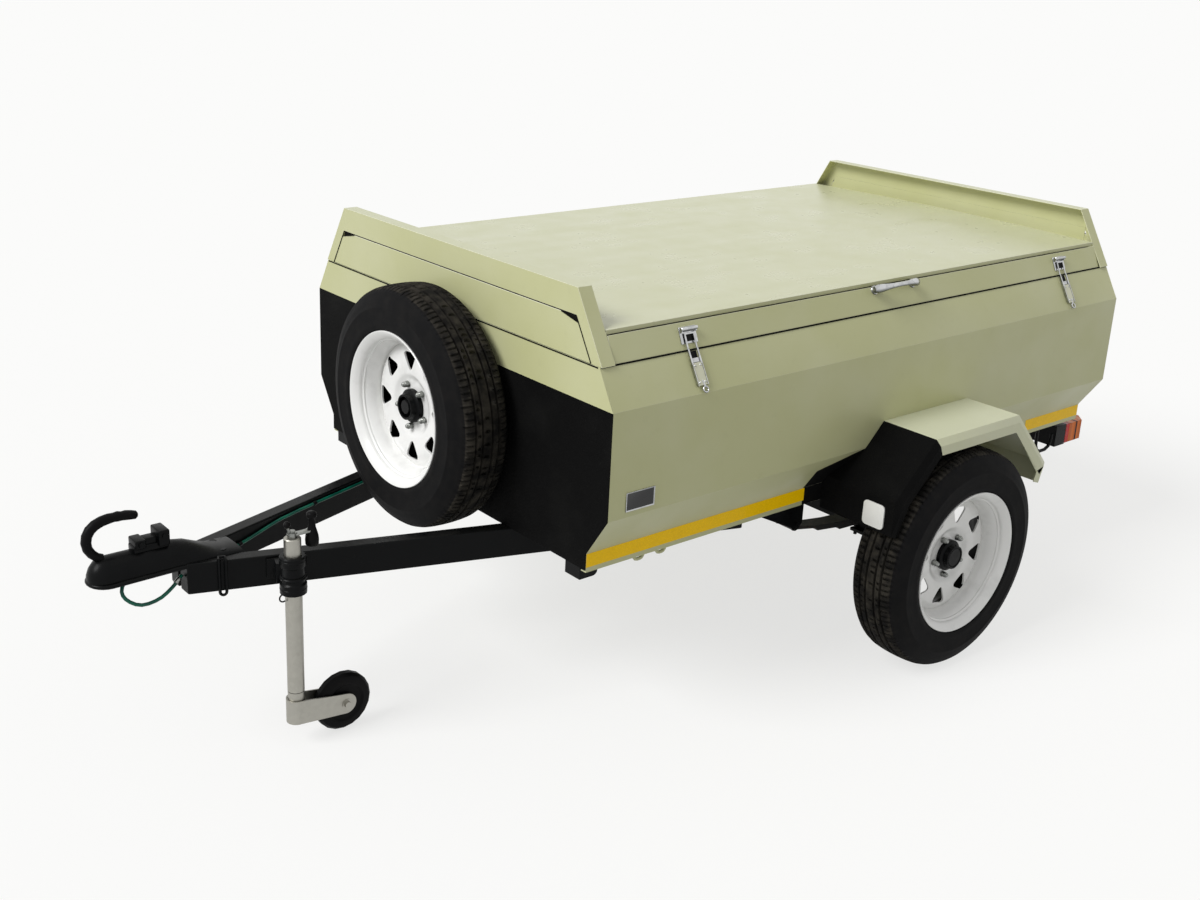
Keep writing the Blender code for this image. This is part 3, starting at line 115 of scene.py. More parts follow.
@dataclass
class Layers:
    """One material's nodes, with the colour, gloss and relief that a finish lays up on them."""

    tree: bpy.types.NodeTree
    shader: bpy.types.Node
    place: Socket

    def paint(self, colour: Socket) -> None:
        """Links the shader's colour."""
        self.tree.links.new(colour, self.shader.inputs["Base Color"])

    def coat(self, weight: float, roughness: float) -> None:
        """Sets a clear coat."""
        self.shader.inputs["Coat Weight"].default_value = weight
        self.shader.inputs["Coat Roughness"].default_value = roughness

    def gloss(self, mask: Socket, low: float, high: float) -> None:
        """Lets the roughness run from low to high over a mask."""
        rough = add_node(self.tree, "ShaderNodeMapRange", {"Value": mask}, {"To Min": low, "To Max": high})
        self.tree.links.new(rough.outputs["Result"], self.shader.inputs["Roughness"])

    def mask(self, value: Socket, low: float, high: float) -> Socket:
        """A value stretched to 0 at low and 1 at high."""
        return add_node(self.tree, "ShaderNodeMapRange", {"Value": value},
                        {"From Min": low, "From Max": high}).outputs["Result"]

    def both(self, one: Socket, other: Socket) -> Socket:
        """The overlap of two masks."""
        return add_node(self.tree, "ShaderNodeMath", {0: one, 1: other}, operation="MULTIPLY").outputs[0]

    def upward(self, low: float, high: float) -> Socket:
        """A mask by how far faces look up, from the normal's height low to high."""
        facing = add_node(self.tree, "ShaderNodeNewGeometry").outputs["Normal"]
        return self.mask(add_node(self.tree, "ShaderNodeSeparateXYZ", {0: facing}).outputs["Z"], low, high)

    def cloud(self, size: float, low: float, high: float, octaves: float = 3.0,
              place: Socket | None = None) -> Socket:
        """A soft mask from noise.

        Args:
            size: The patches' size in millimetres.
            low: The noise level where the mask is 0.
            high: The noise level where the mask is 1.
            octaves: The noise's octaves.
            place: Coordinates other than the material's own.

        Returns:
            A value from 0 to 1.
        """
        noise = add_node(self.tree, "ShaderNodeTexNoise", {"Vector": self.place if place is None else place},
                         {"Scale": per_mm(size), "Detail": octaves, "Roughness": 0.55})
        return self.mask(noise.outputs["Fac"], low, high)

    def cells(self, size: float, output: str, values: dict | None = None, **settings: object) -> Socket:
        """A pattern of cells of a size in millimetres."""
        return add_node(self.tree, "ShaderNodeTexVoronoi", {"Vector": self.place},
                        {"Scale": per_mm(size), **(values or {})}, **settings).outputs[output]

    def bands(self, pitch: float, distortion: float, direction: str) -> Socket:
        """Waves of a pitch in millimetres; the node makes twenty to each unit of its scale."""
        return add_node(self.tree, "ShaderNodeTexWave", {"Vector": self.place},
                        {"Scale": per_mm(pitch) / 20, "Distortion": distortion},
                        bands_direction=direction).outputs["Fac"]

    def blend(self, share: Socket, base: Socket | str, over: str, most: float = 1.0) -> Socket:
        """One colour laid over another.

        Args:
            share: The mask of the upper colour.
            base: The lower colour, as a socket or hex value.
            over: The upper colour's hex value.
            most: How strongly the upper colour covers at most.

        Returns:
            The mixed colour.
        """
        scaled = add_node(self.tree, "ShaderNodeMath", {0: share}, {1: most}, operation="MULTIPLY")
        links = {0: scaled.outputs[0]}
        values = {7: linear(over)}
        if isinstance(base, str):
            values[6] = linear(base)
        else:
            links[6] = base
        return add_node(self.tree, "ShaderNodeMix", links, values, data_type="RGBA").outputs[2]

    def relief(self, height: Socket, depth: float, strength: float, under: Socket | None = None) -> Socket:
        """A bump, linked to the shader.

        Args:
            height: The height mask.
            depth: The height of a full step in millimetres.
            strength: How much of the bump shows.
            under: A bump that lies below this one.

        Returns:
            The bumped normal.
        """
        links = {"Height": height}
        if under is not None:
            links["Normal"] = under
        bump = add_node(self.tree, "ShaderNodeBump", links, {"Distance": depth / 1000, "Strength": strength})
        self.tree.links.new(bump.outputs["Normal"], self.shader.inputs["Normal"])
        return bump.outputs["Normal"]


@dataclass(frozen=True)
class Finish:
    """A surface: its real material, its colour, how it shines, and the slot of a piece that has it."""

    name: str
    colour: str
    roughness: float
    metallic: float = 0.0
    specular: float = 0.5
    slot: str = "khaki_enamel"

    def material(self) -> bpy.types.Material:
        """The Blender material, made once."""
        found = bpy.data.materials.get(self.name)
        if found:
            return found
        made = bpy.data.materials.new(self.name)
        made.use_nodes = True
        shader = made.node_tree.nodes["Principled BSDF"]
        for socket, value in (("Base Color", linear(self.colour)), ("Roughness", self.roughness),
                              ("Metallic", self.metallic), ("Specular IOR Level", self.specular)):
            shader.inputs[socket].default_value = value
        place = add_node(made.node_tree, "ShaderNodeTexCoord").outputs["Object"]
        self.detail(Layers(made.node_tree, shader, place))
        return made

    def detail(self, on: Layers) -> None:
        """Adds what the eye sees on the surface."""


@dataclass(frozen=True)
class SprayedEnamel(Finish):
    """Alkyd enamel sprayed on folded steel: an even, half-gloss coat, a little chalky on top."""

    chalk: str = "#E2E2CC"
    dust: str = "#D3D6C6"
    grime: str = "#8E8B68"
    peel: float = 2.2
    ripple: float = 160.0
    drawn: float = 0.0

    def detail(self, on: Layers) -> None:
        """Chalky patches, dust on level faces, faint grime, orange peel, oil canning and drawn ripples."""
        colour = on.blend(on.cloud(260, 0.42, 0.70), self.colour, self.chalk, 0.16)
        colour = on.blend(on.upward(0.72, 1.0), colour, self.dust, 0.32)
        on.paint(on.blend(on.cloud(28, 0.60, 0.78, 6.0), colour, self.grime, 0.07))
        on.gloss(on.cloud(90, 0.3, 0.75), self.roughness - 0.05, self.roughness + 0.10)
        under = on.relief(on.cloud(self.ripple, 0.2, 0.8, 1.0), 2.0, 0.25)
        if self.drawn:
            pulled = add_node(on.tree, "ShaderNodeMapping", {"Vector": on.place}, {"Scale": (0.09, 2.4, 1.0)})
            streaks = on.cloud(150, 0.30, 0.70, 0.0, pulled.outputs[0])
            under = on.relief(streaks, self.drawn, 0.8, under)
        on.relief(on.cloud(self.peel, 0.2, 0.8, 1.0), 0.05, 0.35, under)


@dataclass(frozen=True)
class StoneGuard(Finish):
    """Rubberised stone-guard coat: matt black, pebbled, with pale specks that are partly grit and partly
    painted glints.
    """

    specular: float = 0.05
    # Colour of the specks: grit, and painted glints where pebble tops catch the light
    grit: str = "#3A3B3A"
    dust: str = "#1D1D1C"

    def detail(self, on: Layers) -> None:
        """Pebbles of 2.5 mm with pale specks, partly grit and partly painted glints on their tops, drawn a
        little coarser than real so that they show.
        """
        glint_specks = on.mask(on.cells(5.0, "Distance"), 0.16, 0.05)
        colour = on.blend(on.both(glint_specks, on.cloud(9, 0.52, 0.66)), self.colour, self.grit, 0.9)
        on.paint(on.blend(on.cloud(140, 0.5, 0.8), colour, self.dust, 0.4))
        on.relief(on.cloud(2.5, 0.3, 0.7), 0.8, 0.9)


@dataclass(frozen=True)
class ChassisPaint(Finish):
    """Satin chassis black brushed and sprayed on mild steel: even, with a paler grey on top faces that is
    partly dust and partly a painted sky highlight.
    """

    specular: float = 0.09
    slot: str = "black_paint"
    # Grey of the top faces: road dust, and a painted highlight of the sky
    dust: str = "#33322F"

    def detail(self, on: Layers) -> None:
        """A paler grey on faces that look up, partly road dust and partly a painted sky highlight, uneven
        gloss and a fine orange peel.
        """
        patchy = on.cloud(45, 0.35, 0.75)
        on.paint(on.blend(on.both(on.upward(0.6, 1.0), patchy), self.colour, self.dust, 0.30))
        on.gloss(patchy, self.roughness - 0.08, self.roughness + 0.12)
        on.relief(on.cloud(3.0, 0.2, 0.8, 2.0), 0.08, 0.4)


@dataclass(frozen=True)
class Rubber(Finish):
    """Moulded black rubber: matt, a little grey where dust sits."""

    specular: float = 0.07
    slot: str = "solid_rubber"
    dust: str = "#262422"
    share: float = 0.3

    def detail(self, on: Layers) -> None:
        """Dusty patches of 30 mm and a fine moulded grain."""
        on.paint(on.blend(on.cloud(30, 0.4, 0.75, 5.0), self.colour, self.dust, self.share))
        on.relief(on.cloud(1.5, 0.3, 0.7), 0.15, 0.5)


@dataclass(frozen=True)
class StovedEnamel(Finish):
    """White stoving enamel on a pressed rim: glossy and smooth, with brake dust low in the dish."""

    slot: str = "rim_enamel"
    grime: str = "#9A9A97"

    def detail(self, on: Layers) -> None:
        """Faint grime of 50 mm patches under a clear gloss."""
        on.coat(0.4, 0.08)
        on.paint(on.blend(on.cloud(50, 0.55, 0.85, 5.0), self.colour, self.grime, 0.25))
        on.relief(on.cloud(3.5, 0.2, 0.8, 1.0), 0.05, 0.3)


@dataclass(frozen=True)
class PlatedSteel(Finish):
    """Plated or galvanised steel: bright metal with a crystal or polish pattern of its own, and a painted
    reflection of the dark ground where it is asked for.
    """

    metallic: float = 1.0
    slot: str = "zinc_plate"
    spangle: float = 8.0
    shade: str = "#7F8284"
    share: float = 0.5
    # Colour of the painted reflection of the dark ground on faces that look down; under sets how strongly it
    # covers
    mirrored: str = "#3A3D3C"
    under: float = 0.0

    def detail(self, on: Layers) -> None:
        """Crystals of the spangle's size, a painted reflection of the dark ground on faces that look down,
        and uneven polish.
        """
        tone = add_node(on.tree, "ShaderNodeSeparateColor", {0: on.cells(self.spangle, "Color")}).outputs[0]
        colour = on.blend(tone, self.colour, self.shade, self.share)
        # Painted reflection: faces that look down turn towards the dark ground's colour
        if self.under:
            colour = on.blend(on.upward(0.25, -0.35), colour, self.mirrored, self.under)
        on.paint(colour)
        on.gloss(on.cloud(14, 0.3, 0.75, 5.0), self.roughness, self.roughness + 0.14)
        on.relief(on.cloud(1.2, 0.3, 0.7), 0.02, 0.5)


@dataclass(frozen=True)
class SpringSteel(Finish):
    """Hot-rolled spring steel under thin black paint: scaly, with rust bleeding through."""

    slot: str = "spring_steel"
    rust: str = "#4E2C1A"

    def detail(self, on: Layers) -> None:
        """Rust blooms of 12 mm over a scaled surface."""
        on.paint(on.blend(on.cloud(12, 0.55, 0.72, 6.0), self.colour, self.rust, 0.7))
        on.relief(on.cloud(2.0, 0.3, 0.7), 0.2, 0.6)


@dataclass(frozen=True)
class Sheath(Finish):
    """PVC sheath over wire rope: a deep clear green through which the strands' lay shows faintly."""

    specular: float = 0.2
    slot: str = "cable_sheath"
    strand: str = "#0F7A5E"

    def detail(self, on: Layers) -> None:
        """The rope's lay as faint bands, 7 mm apart."""
        on.coat(0.12, 0.15)
        lay = on.bands(7.0, 0.4, "DIAGONAL")
        on.paint(on.blend(lay, self.colour, self.strand, 0.5))
        on.relief(lay, 0.2, 0.4)


@dataclass(frozen=True)
class Acrylic(Finish):
    """Moulded lamp acrylic: glossy, coloured through, with prisms on its back that show as ribs."""

    specular: float = 0.12
    slot: str = "lamp_lens"
    deep: str = "#5A1205"

    def detail(self, on: Layers) -> None:
        """Upright prisms 4 mm apart below a clear gloss."""
        on.coat(0.08, 0.05)
        ribs = on.bands(4.0, 0.0, "X")
        on.paint(on.blend(ribs, self.colour, self.deep, 0.30))
        on.relief(ribs, 0.6, 0.6)


@dataclass(frozen=True)
class Retroreflector(Finish):
    """Reflective sheeting: bright colour under clear film, with a fine honeycomb of sealed cells."""

    specular: float = 0.15
    slot: str = "lamp_lens"
    cell: float = 3.0
    seam: str = "#B58900"
    painted_glow: float = 0.0

    def detail(self, on: Layers) -> None:
        """Honeycomb cells 3 mm across, with darker seams, a little road dirt, and a painted glow that stands
        for the light they return.
        """
        on.coat(0.1, 0.1)
        # Painted glow: the sheeting gives off a little light of its own colour
        on.shader.inputs["Emission Color"].default_value = linear(self.colour)
        on.shader.inputs["Emission Strength"].default_value = self.painted_glow
        edges = on.cells(self.cell, "Distance", {"Randomness": 0.25}, feature="DISTANCE_TO_EDGE")
        colour = on.blend(on.mask(edges, 0.12, 0.02), self.colour, self.seam, 0.35)
        on.paint(on.blend(on.cloud(40, 0.5, 0.8, 5.0), colour, self.seam, 0.2))


# Sage-beige enamel of the tub and lid
KHAKI = SprayedEnamel("khaki alkyd enamel", "#C3C493", 0.34)
# The lid's top, with the lengthwise ripples of a sheet pulled over its frame
DRAWN_KHAKI = SprayedEnamel("khaki enamel on drawn sheet", "#C3C493", 0.30, drawn=1.6)
# The mudguards' enamel, bleached and chalked by the sun
BLEACHED = SprayedEnamel("bleached khaki enamel", "#D2D4B2", 0.38)
# The same coat paler along its folds, partly rubbed thin and partly a painted highlight of the rounded edges,
# and on the latch plates
PALE_KHAKI = SprayedEnamel("pale khaki enamel", "#DCDCC2", 0.30)
# Matt pebbled coat of the front wall, the flanks' low parts and the mudguards
GUARD = StoneGuard("stone guard coat", "#0A0A0A", 0.72)
# Drawbar, chassis, axle and coupler
BLACK = ChassisPaint("satin chassis black", "#0B0C0D", 0.34)
# Tyre rubber, matt and dusty
TYRE = Rubber("tyre rubber", "#101011", 0.70, slot="tyre")
# The dusty running band of the tyres
TREAD = Rubber("tyre tread rubber", "#181716", 0.85, slot="tyre", dust="#5A554C", share=0.45)
# Jockey wheel, crank grip and the coupler lever's coat
MOULDED = Rubber("moulded black rubber", "#0C0C0D", 0.42, share=0.15)
# Lid seal and mastic in the joints, matt; its strips under the lid's edge and its plates behind the end
# frames' slits are also painted shade
SEAL_AND_SHADE = Rubber("sponge rubber seal and painted shade", "#121210", 0.9, share=0.2)
# White spoked rims
WHITE = StovedEnamel("white stoved enamel", "#F2F2F0", 0.25)
# Latches, handle and badge frame, with a painted reflection of the dark ground on faces that look down
CHROME = PlatedSteel("chromed steel", "#CDCECF", 0.14, slot="chrome_plate", spangle=9.0, shade="#8A8C8C",
                     share=0.45, under=0.75)
# Bolts, hinge leaves, crank arm, with a painted reflection of the dark ground on faces that look down
ZINC = PlatedSteel("zinc plated steel", "#A3A5A1", 0.30, spangle=3.0, shade="#6F716F", under=0.6)
# Jockey tube and fork
GALVANISED = PlatedSteel("galvanised steel", "#A8A69E", 0.36, slot="galvanised_steel", spangle=9.0,
                         shade="#96948D", share=0.25)
# Leaf springs
LEAF = SpringSteel("painted spring steel", "#141312", 0.6)
# Safety cable
CABLE = Sheath("green cable sheath", "#075243", 0.3)
# Tail lamps: red stop lens and amber turn lens
RED_LENS = Acrylic("red lamp acrylic", "#D81A0A", 0.12)
AMBER_LENS = Acrylic("amber lamp acrylic", "#F0780A", 0.12)
# Yellow sill tape, with a painted glow for the light it returns
YELLOW_TAPE = Retroreflector("yellow reflective tape", "#F2C400", 0.40, slot="khaki_enamel", seam="#B98E00",
                             painted_glow=0.16)
# White square reflector
WHITE_REFLECTOR = Retroreflector("white reflector", "#EDEDEA", 0.2, cell=4.0, seam="#BDBDB8")
# Bare field of the badge plate
BADGE_FIELD = SprayedEnamel("black badge field", "#17181A", 0.25, chalk="#26272A", grime="#1E1E1E")


@dataclass(frozen=True)
class Patch:
    """A second finish on a piece, on the faces that a test of centre and normal picks."""

    finish: Finish
    picks: Test


def add_object(name: str, data: bpy.types.ID) -> bpy.types.Object:
    """Adds a mesh, curve, camera or lamp to the scene as an object."""
    made = bpy.data.objects.new(name, data)
    bpy.context.scene.collection.objects.link(made)
    return made


def to_mesh(work: Work, name: str) -> bpy.types.Mesh:
    """Turns a worked mesh into mesh data, and frees it."""
    mesh = bpy.data.meshes.new(name)
    work.to_mesh(mesh)
    work.free()
    return mesh


@dataclass
class Piece:
    """A finished piece of the scene, and what it stands for."""

    name: str
    body: Body
    finish: Finish
    nodes: tuple[str, ...] = ()
    patches: tuple[Patch, ...] = ()
    smooth: float = 32.0
    slot: str = ""

    def finish_mesh(self, work: Work, place: Matrix = Matrix()) -> bpy.types.Object:
        """Turns the worked mesh, faces outwards, into an object that rides on its body.

        Args:
            work: The mesh, which is freed.
            place: Where the mesh goes, in the row frame; it doesn't mirror.

        Returns:
            The object, at the origin.
        """
        bmesh.ops.recalc_face_normals(work, faces=work.faces)
        bmesh.ops.transform(work, matrix=place, verts=work.verts)
        return self.finish_data(to_mesh(work, self.name))

    def finish_data(self, mesh: bpy.types.Mesh) -> bpy.types.Object:
        """Gives a mesh its materials, smooth shading and body.

        Args:
            mesh: The mesh, in the row frame.

        Returns:
            The object, at the origin.
        """
        mesh.materials.clear()
        mesh.materials.append(self.finish.material())
        for index, patch in enumerate(self.patches, start=1):
            mesh.materials.append(patch.finish.material())
            for face in mesh.polygons:
                if patch.picks(face.center, face.normal):
                    face.material_index = index
        mesh.shade_smooth()
        mesh.set_sharp_from_angle(angle=math.radians(self.smooth))
        obj = add_object(self.name, mesh)
        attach(obj, self.body.value)
        if self.nodes:
            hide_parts(*self.nodes)
        log.info("%s: %d faces", self.name, len(mesh.polygons))
        return obj


def turned(spot: Sequence[float], degrees: float, axis: str = "X") -> Matrix:
    """A frame at a spot, turned about an axis."""
    return Matrix.Translation(spot) @ Matrix.Rotation(math.radians(degrees), 4, axis)


def spread(side: int, near: float, far: float) -> list[float]:
    """Two distances out to a side, -1 or 1, the lower first."""
    return sorted((side * near, side * far))


def cut(work: Work, spot: Sequence[float], across: Sequence[float]) -> None:
    """Cuts the faces along the plane through a spot."""
    geometry = list(work.verts) + list(work.edges) + list(work.faces)
    bmesh.ops.bisect_plane(work, geom=geometry, plane_co=spot, plane_no=across)


def bevel(work: Work, geometry: list, width: float, segments: int, affect: str = "EDGES") -> dict:
    """Rounds edges or corners."""
    return bmesh.ops.bevel(work, geom=geometry, offset=width, offset_type="OFFSET", affect=affect,
                           segments=segments, profile=0.5, clamp_overlap=True, material=-1)


def merge_flat(work: Work, degrees: float) -> None:
    """Dissolves what lies between faces that are flat to each other within an angle."""
    bmesh.ops.dissolve_limit(work, angle_limit=math.radians(degrees), use_dissolve_boundaries=False,
                             verts=work.verts, edges=work.edges, delimit=set())


def section_spun(points: Sequence[Point], steps: int) -> Work:
    """A (radius, height) section spun a full turn about Z.

    Args:
        points: The section; it is closed into a ring unless it starts on the axis.
        steps: Facets round the turn.

    Returns:
        The closed mesh.
    """
    work = bmesh.new()
    corners = [work.verts.new((radius, 0.0, height)) for radius, height in points]
    edges = [work.edges.new(pair) for pair in zip(corners, corners[1:])]
    if points[0][0] > 0:
        edges.append(work.edges.new((corners[-1], corners[0])))
    bmesh.ops.spin(work, geom=corners + edges, cent=(0, 0, 0), axis=(0, 0, 1), angle=math.tau,
                   steps=steps, use_merge=True)
    bmesh.ops.remove_doubles(work, verts=work.verts, dist=WELD)
    bmesh.ops.recalc_face_normals(work, faces=work.faces)
    return work


def add_box(work: Work, low: Sequence[float], high: Sequence[float],
            turn: Matrix = Matrix()) -> list[bmesh.types.BMVert]:
    """Adds a box between two corners to a mesh.

    Args:
        work: The mesh.
        low: The lowest corner.
        high: The highest corner.
        turn: A placement on top.

    Returns:
        The box's vertices.
    """
    made = bmesh.ops.create_cube(work, size=1.0)["verts"]
    bmesh.ops.scale(work, vec=[b - a for a, b in zip(low, high)], verts=made)
    bmesh.ops.translate(work, vec=[(a + b) / 2 for a, b in zip(low, high)], verts=made)
    bmesh.ops.transform(work, matrix=turn, verts=made)
    return made


def add_rod(work: Work, start: Vector, end: Vector, radius: float, sides: int = 16,
            end_radius: float | None = None) -> None:
    """Adds a round bar, or a prism of few sides, between two points.

    Args:
        work: The mesh.
        start: One end's centre.
        end: The other end's centre.
        radius: Its radius at the start.
        sides: Its number of sides.
        end_radius: Its radius at the end, if another.
    """
    span = end - start
    place = Matrix.Translation((start + end) / 2) @ span.to_track_quat("Z", "Y").to_matrix().to_4x4()
    bmesh.ops.create_cone(work, cap_ends=True, segments=sides, radius1=radius,
                          radius2=radius if end_radius is None else end_radius,
                          depth=span.length, matrix=place)


def round_edges(work: Work, width: float, segments: int = 2, angle: float = 30.0) -> None:
    """Rounds the edges that are sharper than an angle.

    Args:
        work: The mesh.
        width: The rounding's width.
        segments: Its steps.
        angle: The angle in degrees.
    """
    bevel(work, [edge for edge in work.edges if len(edge.link_faces) == 2
                 and edge.calc_face_angle(0.0) > math.radians(angle)], width, segments)


def add_sweep(work: Work, points: Sequence[Vector], radii: Sequence[float], sides: int = 12) -> None:
    """Adds a round bar through points, with its own radius at each.

    Args:
        work: The mesh.
        points: The bar's centreline.
        radii: The radius at each point; one alone holds for all.
        sides: Facets round the bar.
    """
    last = len(points) - 1
    wide = list(radii) * (last + 1) if len(radii) == 1 else list(radii)
    behind = None
    for index, (point, radius) in enumerate(zip(points, wide)):
        ahead = points[min(index + 1, last)] - points[max(index - 1, 0)]
        place = Matrix.Translation(point) @ ahead.to_track_quat("Z", "Y").to_matrix().to_4x4()
        ring = bmesh.ops.create_circle(work, cap_ends=index in (0, last), segments=sides, radius=radius,
                                       matrix=place)["verts"]
        behind = bridge(work, ring, behind)


def bridge(work: Work, ring: Sequence[bmesh.types.BMVert], behind: list | None) -> list:
    """Joins a ring to the one before it.

    Args:
        work: The mesh.
        ring: The ring's vertices.
        behind: The edges of the ring before it, if there is one.

    Returns:
        The ring's edges.
    """
    edges = list({edge for vert in ring for edge in vert.link_edges})
    if behind:
        bmesh.ops.bridge_loops(work, edges=behind + edges)
    return edges


def add_ring(work: Work, place: Matrix, major: float, minor: float, arc: float = math.tau,
             steps: int = 28) -> None:
    """Adds a ring, or an open part of one, bent from round wire.

    Args:
        work: The mesh.
        place: The ring's frame; it lies in its XY plane.
        major: The ring's radius.
        minor: The wire's radius.
        arc: How far round it goes.
        steps: Facets along it.
    """
    line = [place @ Vector((major * math.cos(arc * i / steps), major * math.sin(arc * i / steps), 0))
            for i in range(steps + 1)]
    add_sweep(work, line, (minor,), 10)


def add_hull(work: Work, verts: Sequence[bmesh.types.BMVert]) -> None:
    """Wraps points of a mesh in one convex skin."""
    hull = bmesh.ops.convex_hull(work, input=list(verts), use_existing_faces=False)
    loose = [item for item in hull["geom_interior"] if isinstance(item, bmesh.types.BMVert)]
    bmesh.ops.delete(work, geom=loose, context="VERTS")
    merge_flat(work, 1)


@dataclass
class PressedPart(Piece):
    """A CAD node taken over with rolled edges, as folded, cast or sawn metal has them."""

    edge: float = 0.0010
    # A paler finish for the rolled edges' faces: wear, and a painted highlight
    edge_finish: Finish | None = None

    def build(self, prepare: Callable[[Work], None] | None = None) -> None:
        """Copies the node, welds its loose triangles, clears flat edges and rolls the sharp ones.

        Args:
            prepare: A change to the welded mesh before its edges are rolled.
        """
        work = bmesh.new()
        work.from_mesh(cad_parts[self.nodes[0]].data)
        bmesh.ops.remove_doubles(work, verts=work.verts, dist=WELD)
        merge_flat(work, 0.4)
        if prepare:
            prepare(work)
        obj = self.finish_mesh(work)
        if self.edge:
            rolled = obj.modifiers.new("Rolled edges", "BEVEL")
            rolled.width = self.edge
            rolled.segments = 2
            rolled.limit_method = "ANGLE"
            rolled.angle_limit = math.radians(28)
            rolled.harden_normals = True
            if self.edge_finish:
                obj.data.materials.append(self.edge_finish.material())
                rolled.material = len(obj.data.materials) - 1


@dataclass
class Viewpoint:
    """The camera, where the photograph was taken from."""

    place: Spot = (-2.296, -2.5999, 1.7202)
    yaw: float = 0.8723
    pitch: float = -0.3248
    roll: float = 0.0452
    lens: float = 42.15
    shift_x: float = 0.0134
    shift_y: float = -0.0387

    def build(self) -> None:
        """Makes the camera, and makes it the scene's own."""
        flat = math.cos(self.pitch)
        ahead = Vector((flat * math.cos(self.yaw), flat * math.sin(self.yaw), math.sin(self.pitch)))
        level = Vector((math.sin(self.yaw), -math.cos(self.yaw), 0))
        above = level.cross(ahead)
        right = level * math.cos(self.roll) + above * math.sin(self.roll)
        up = above * math.cos(self.roll) - level * math.sin(self.roll)
        data = bpy.data.cameras.new("camera")
        data.sensor_width = 36.0
        data.sensor_fit = "HORIZONTAL"
        data.lens = self.lens
        data.shift_x = self.shift_x
        data.shift_y = self.shift_y
        data.clip_end = 200.0
        camera = add_object("camera", data)
        turn = Matrix((right, up, -ahead)).transposed().to_4x4()
        camera.matrix_world = Matrix.Translation(self.place) @ turn
        bpy.context.scene.camera = camera


@dataclass
class Studio:
    """The pale floor, the soft key lamp and the white surround."""

    floor_colour: str = "#BCBCBA"
    seen_floor: str = "#F4F4F3"
    surround: str = "#FCFCFB"
    reach: float = 60.0
    ambient: float = 0.46
    key: float = 2.3
    key_place: Spot = (-9.0, 1.4, 8.0)
    key_spread: float = 28.0

    def build(self) -> None:
        """Makes the floor, the lamp, which aims at the trailer, and the world."""
        work = bmesh.new()
        bmesh.ops.create_grid(work, x_segments=1, y_segments=1, size=self.reach)
        floor = add_object("studio_floor", to_mesh(work, "studio_floor"))
        floor.data.materials.append(self.floor_paint())
        data = bpy.data.lights.new("key", "SUN")
        data.energy = self.key
        data.angle = math.radians(self.key_spread)
        lamp = add_object("key", data)
        lamp.location = self.key_place
        lamp.rotation_euler = Vector(self.key_place).to_track_quat("Z", "Y").to_euler()
        self.surroundings()

    def floor_paint(self) -> bpy.types.Material:
        """A floor that the lens sees nearly white, while it lights the trailer as pale grey paint does."""
        made = bpy.data.materials.new("painted studio floor")
        made.use_nodes = True
        tree = made.node_tree
        tree.nodes.clear()
        paint = add_node(tree, "ShaderNodeBsdfDiffuse", None, {"Color": linear(self.floor_colour)})
        pale = add_node(tree, "ShaderNodeBsdfDiffuse", None, {"Color": linear(self.seen_floor)})
        glow = add_node(tree, "ShaderNodeEmission", None, {"Color": linear(self.surround), "Strength": 1.04})
        seen = add_node(tree, "ShaderNodeMixShader", {1: pale.outputs[0], 2: glow.outputs[0]}, {0: 0.70})
        self.show(tree, paint, seen, "ShaderNodeOutputMaterial")
        return made

    def surroundings(self) -> None:
        """A soft white world that the camera and mirrors see as plain white."""
        world = bpy.data.worlds.new("studio surround")
        world.use_nodes = True
        tree = world.node_tree
        tree.nodes.clear()
        light = add_node(tree, "ShaderNodeBackground", None,
                         {"Color": linear("#FFFFFF"), "Strength": self.ambient})
        seen = add_node(tree, "ShaderNodeBackground", None,
                        {"Color": linear(self.surround), "Strength": 1.0})
        self.show(tree, light, seen, "ShaderNodeOutputWorld")
        bpy.context.scene.world = world

    def show(self, tree: bpy.types.NodeTree, lit: bpy.types.Node, seen: bpy.types.Node, output: str) -> None:
        """Puts out one shader to rays from the lens, a mirror or glass, and another to the rest.

        Args:
            tree: The nodes.
            lit: The shader that lights the trailer.
            seen: The shader that the lens sees.
            output: The output node's type.
        """
        path = add_node(tree, "ShaderNodeLightPath")
        direct = path.outputs["Is Camera Ray"]
        for ray in ("Is Glossy Ray", "Is Transmission Ray"):
            direct = add_node(tree, "ShaderNodeMath", {0: direct, 1: path.outputs[ray]},
                              operation="MAXIMUM").outputs[0]
        mixed = add_node(tree, "ShaderNodeMixShader", {0: direct, 1: lit.outputs[0], 2: seen.outputs[0]})
        add_node(tree, output, {"Surface": mixed.outputs[0]})


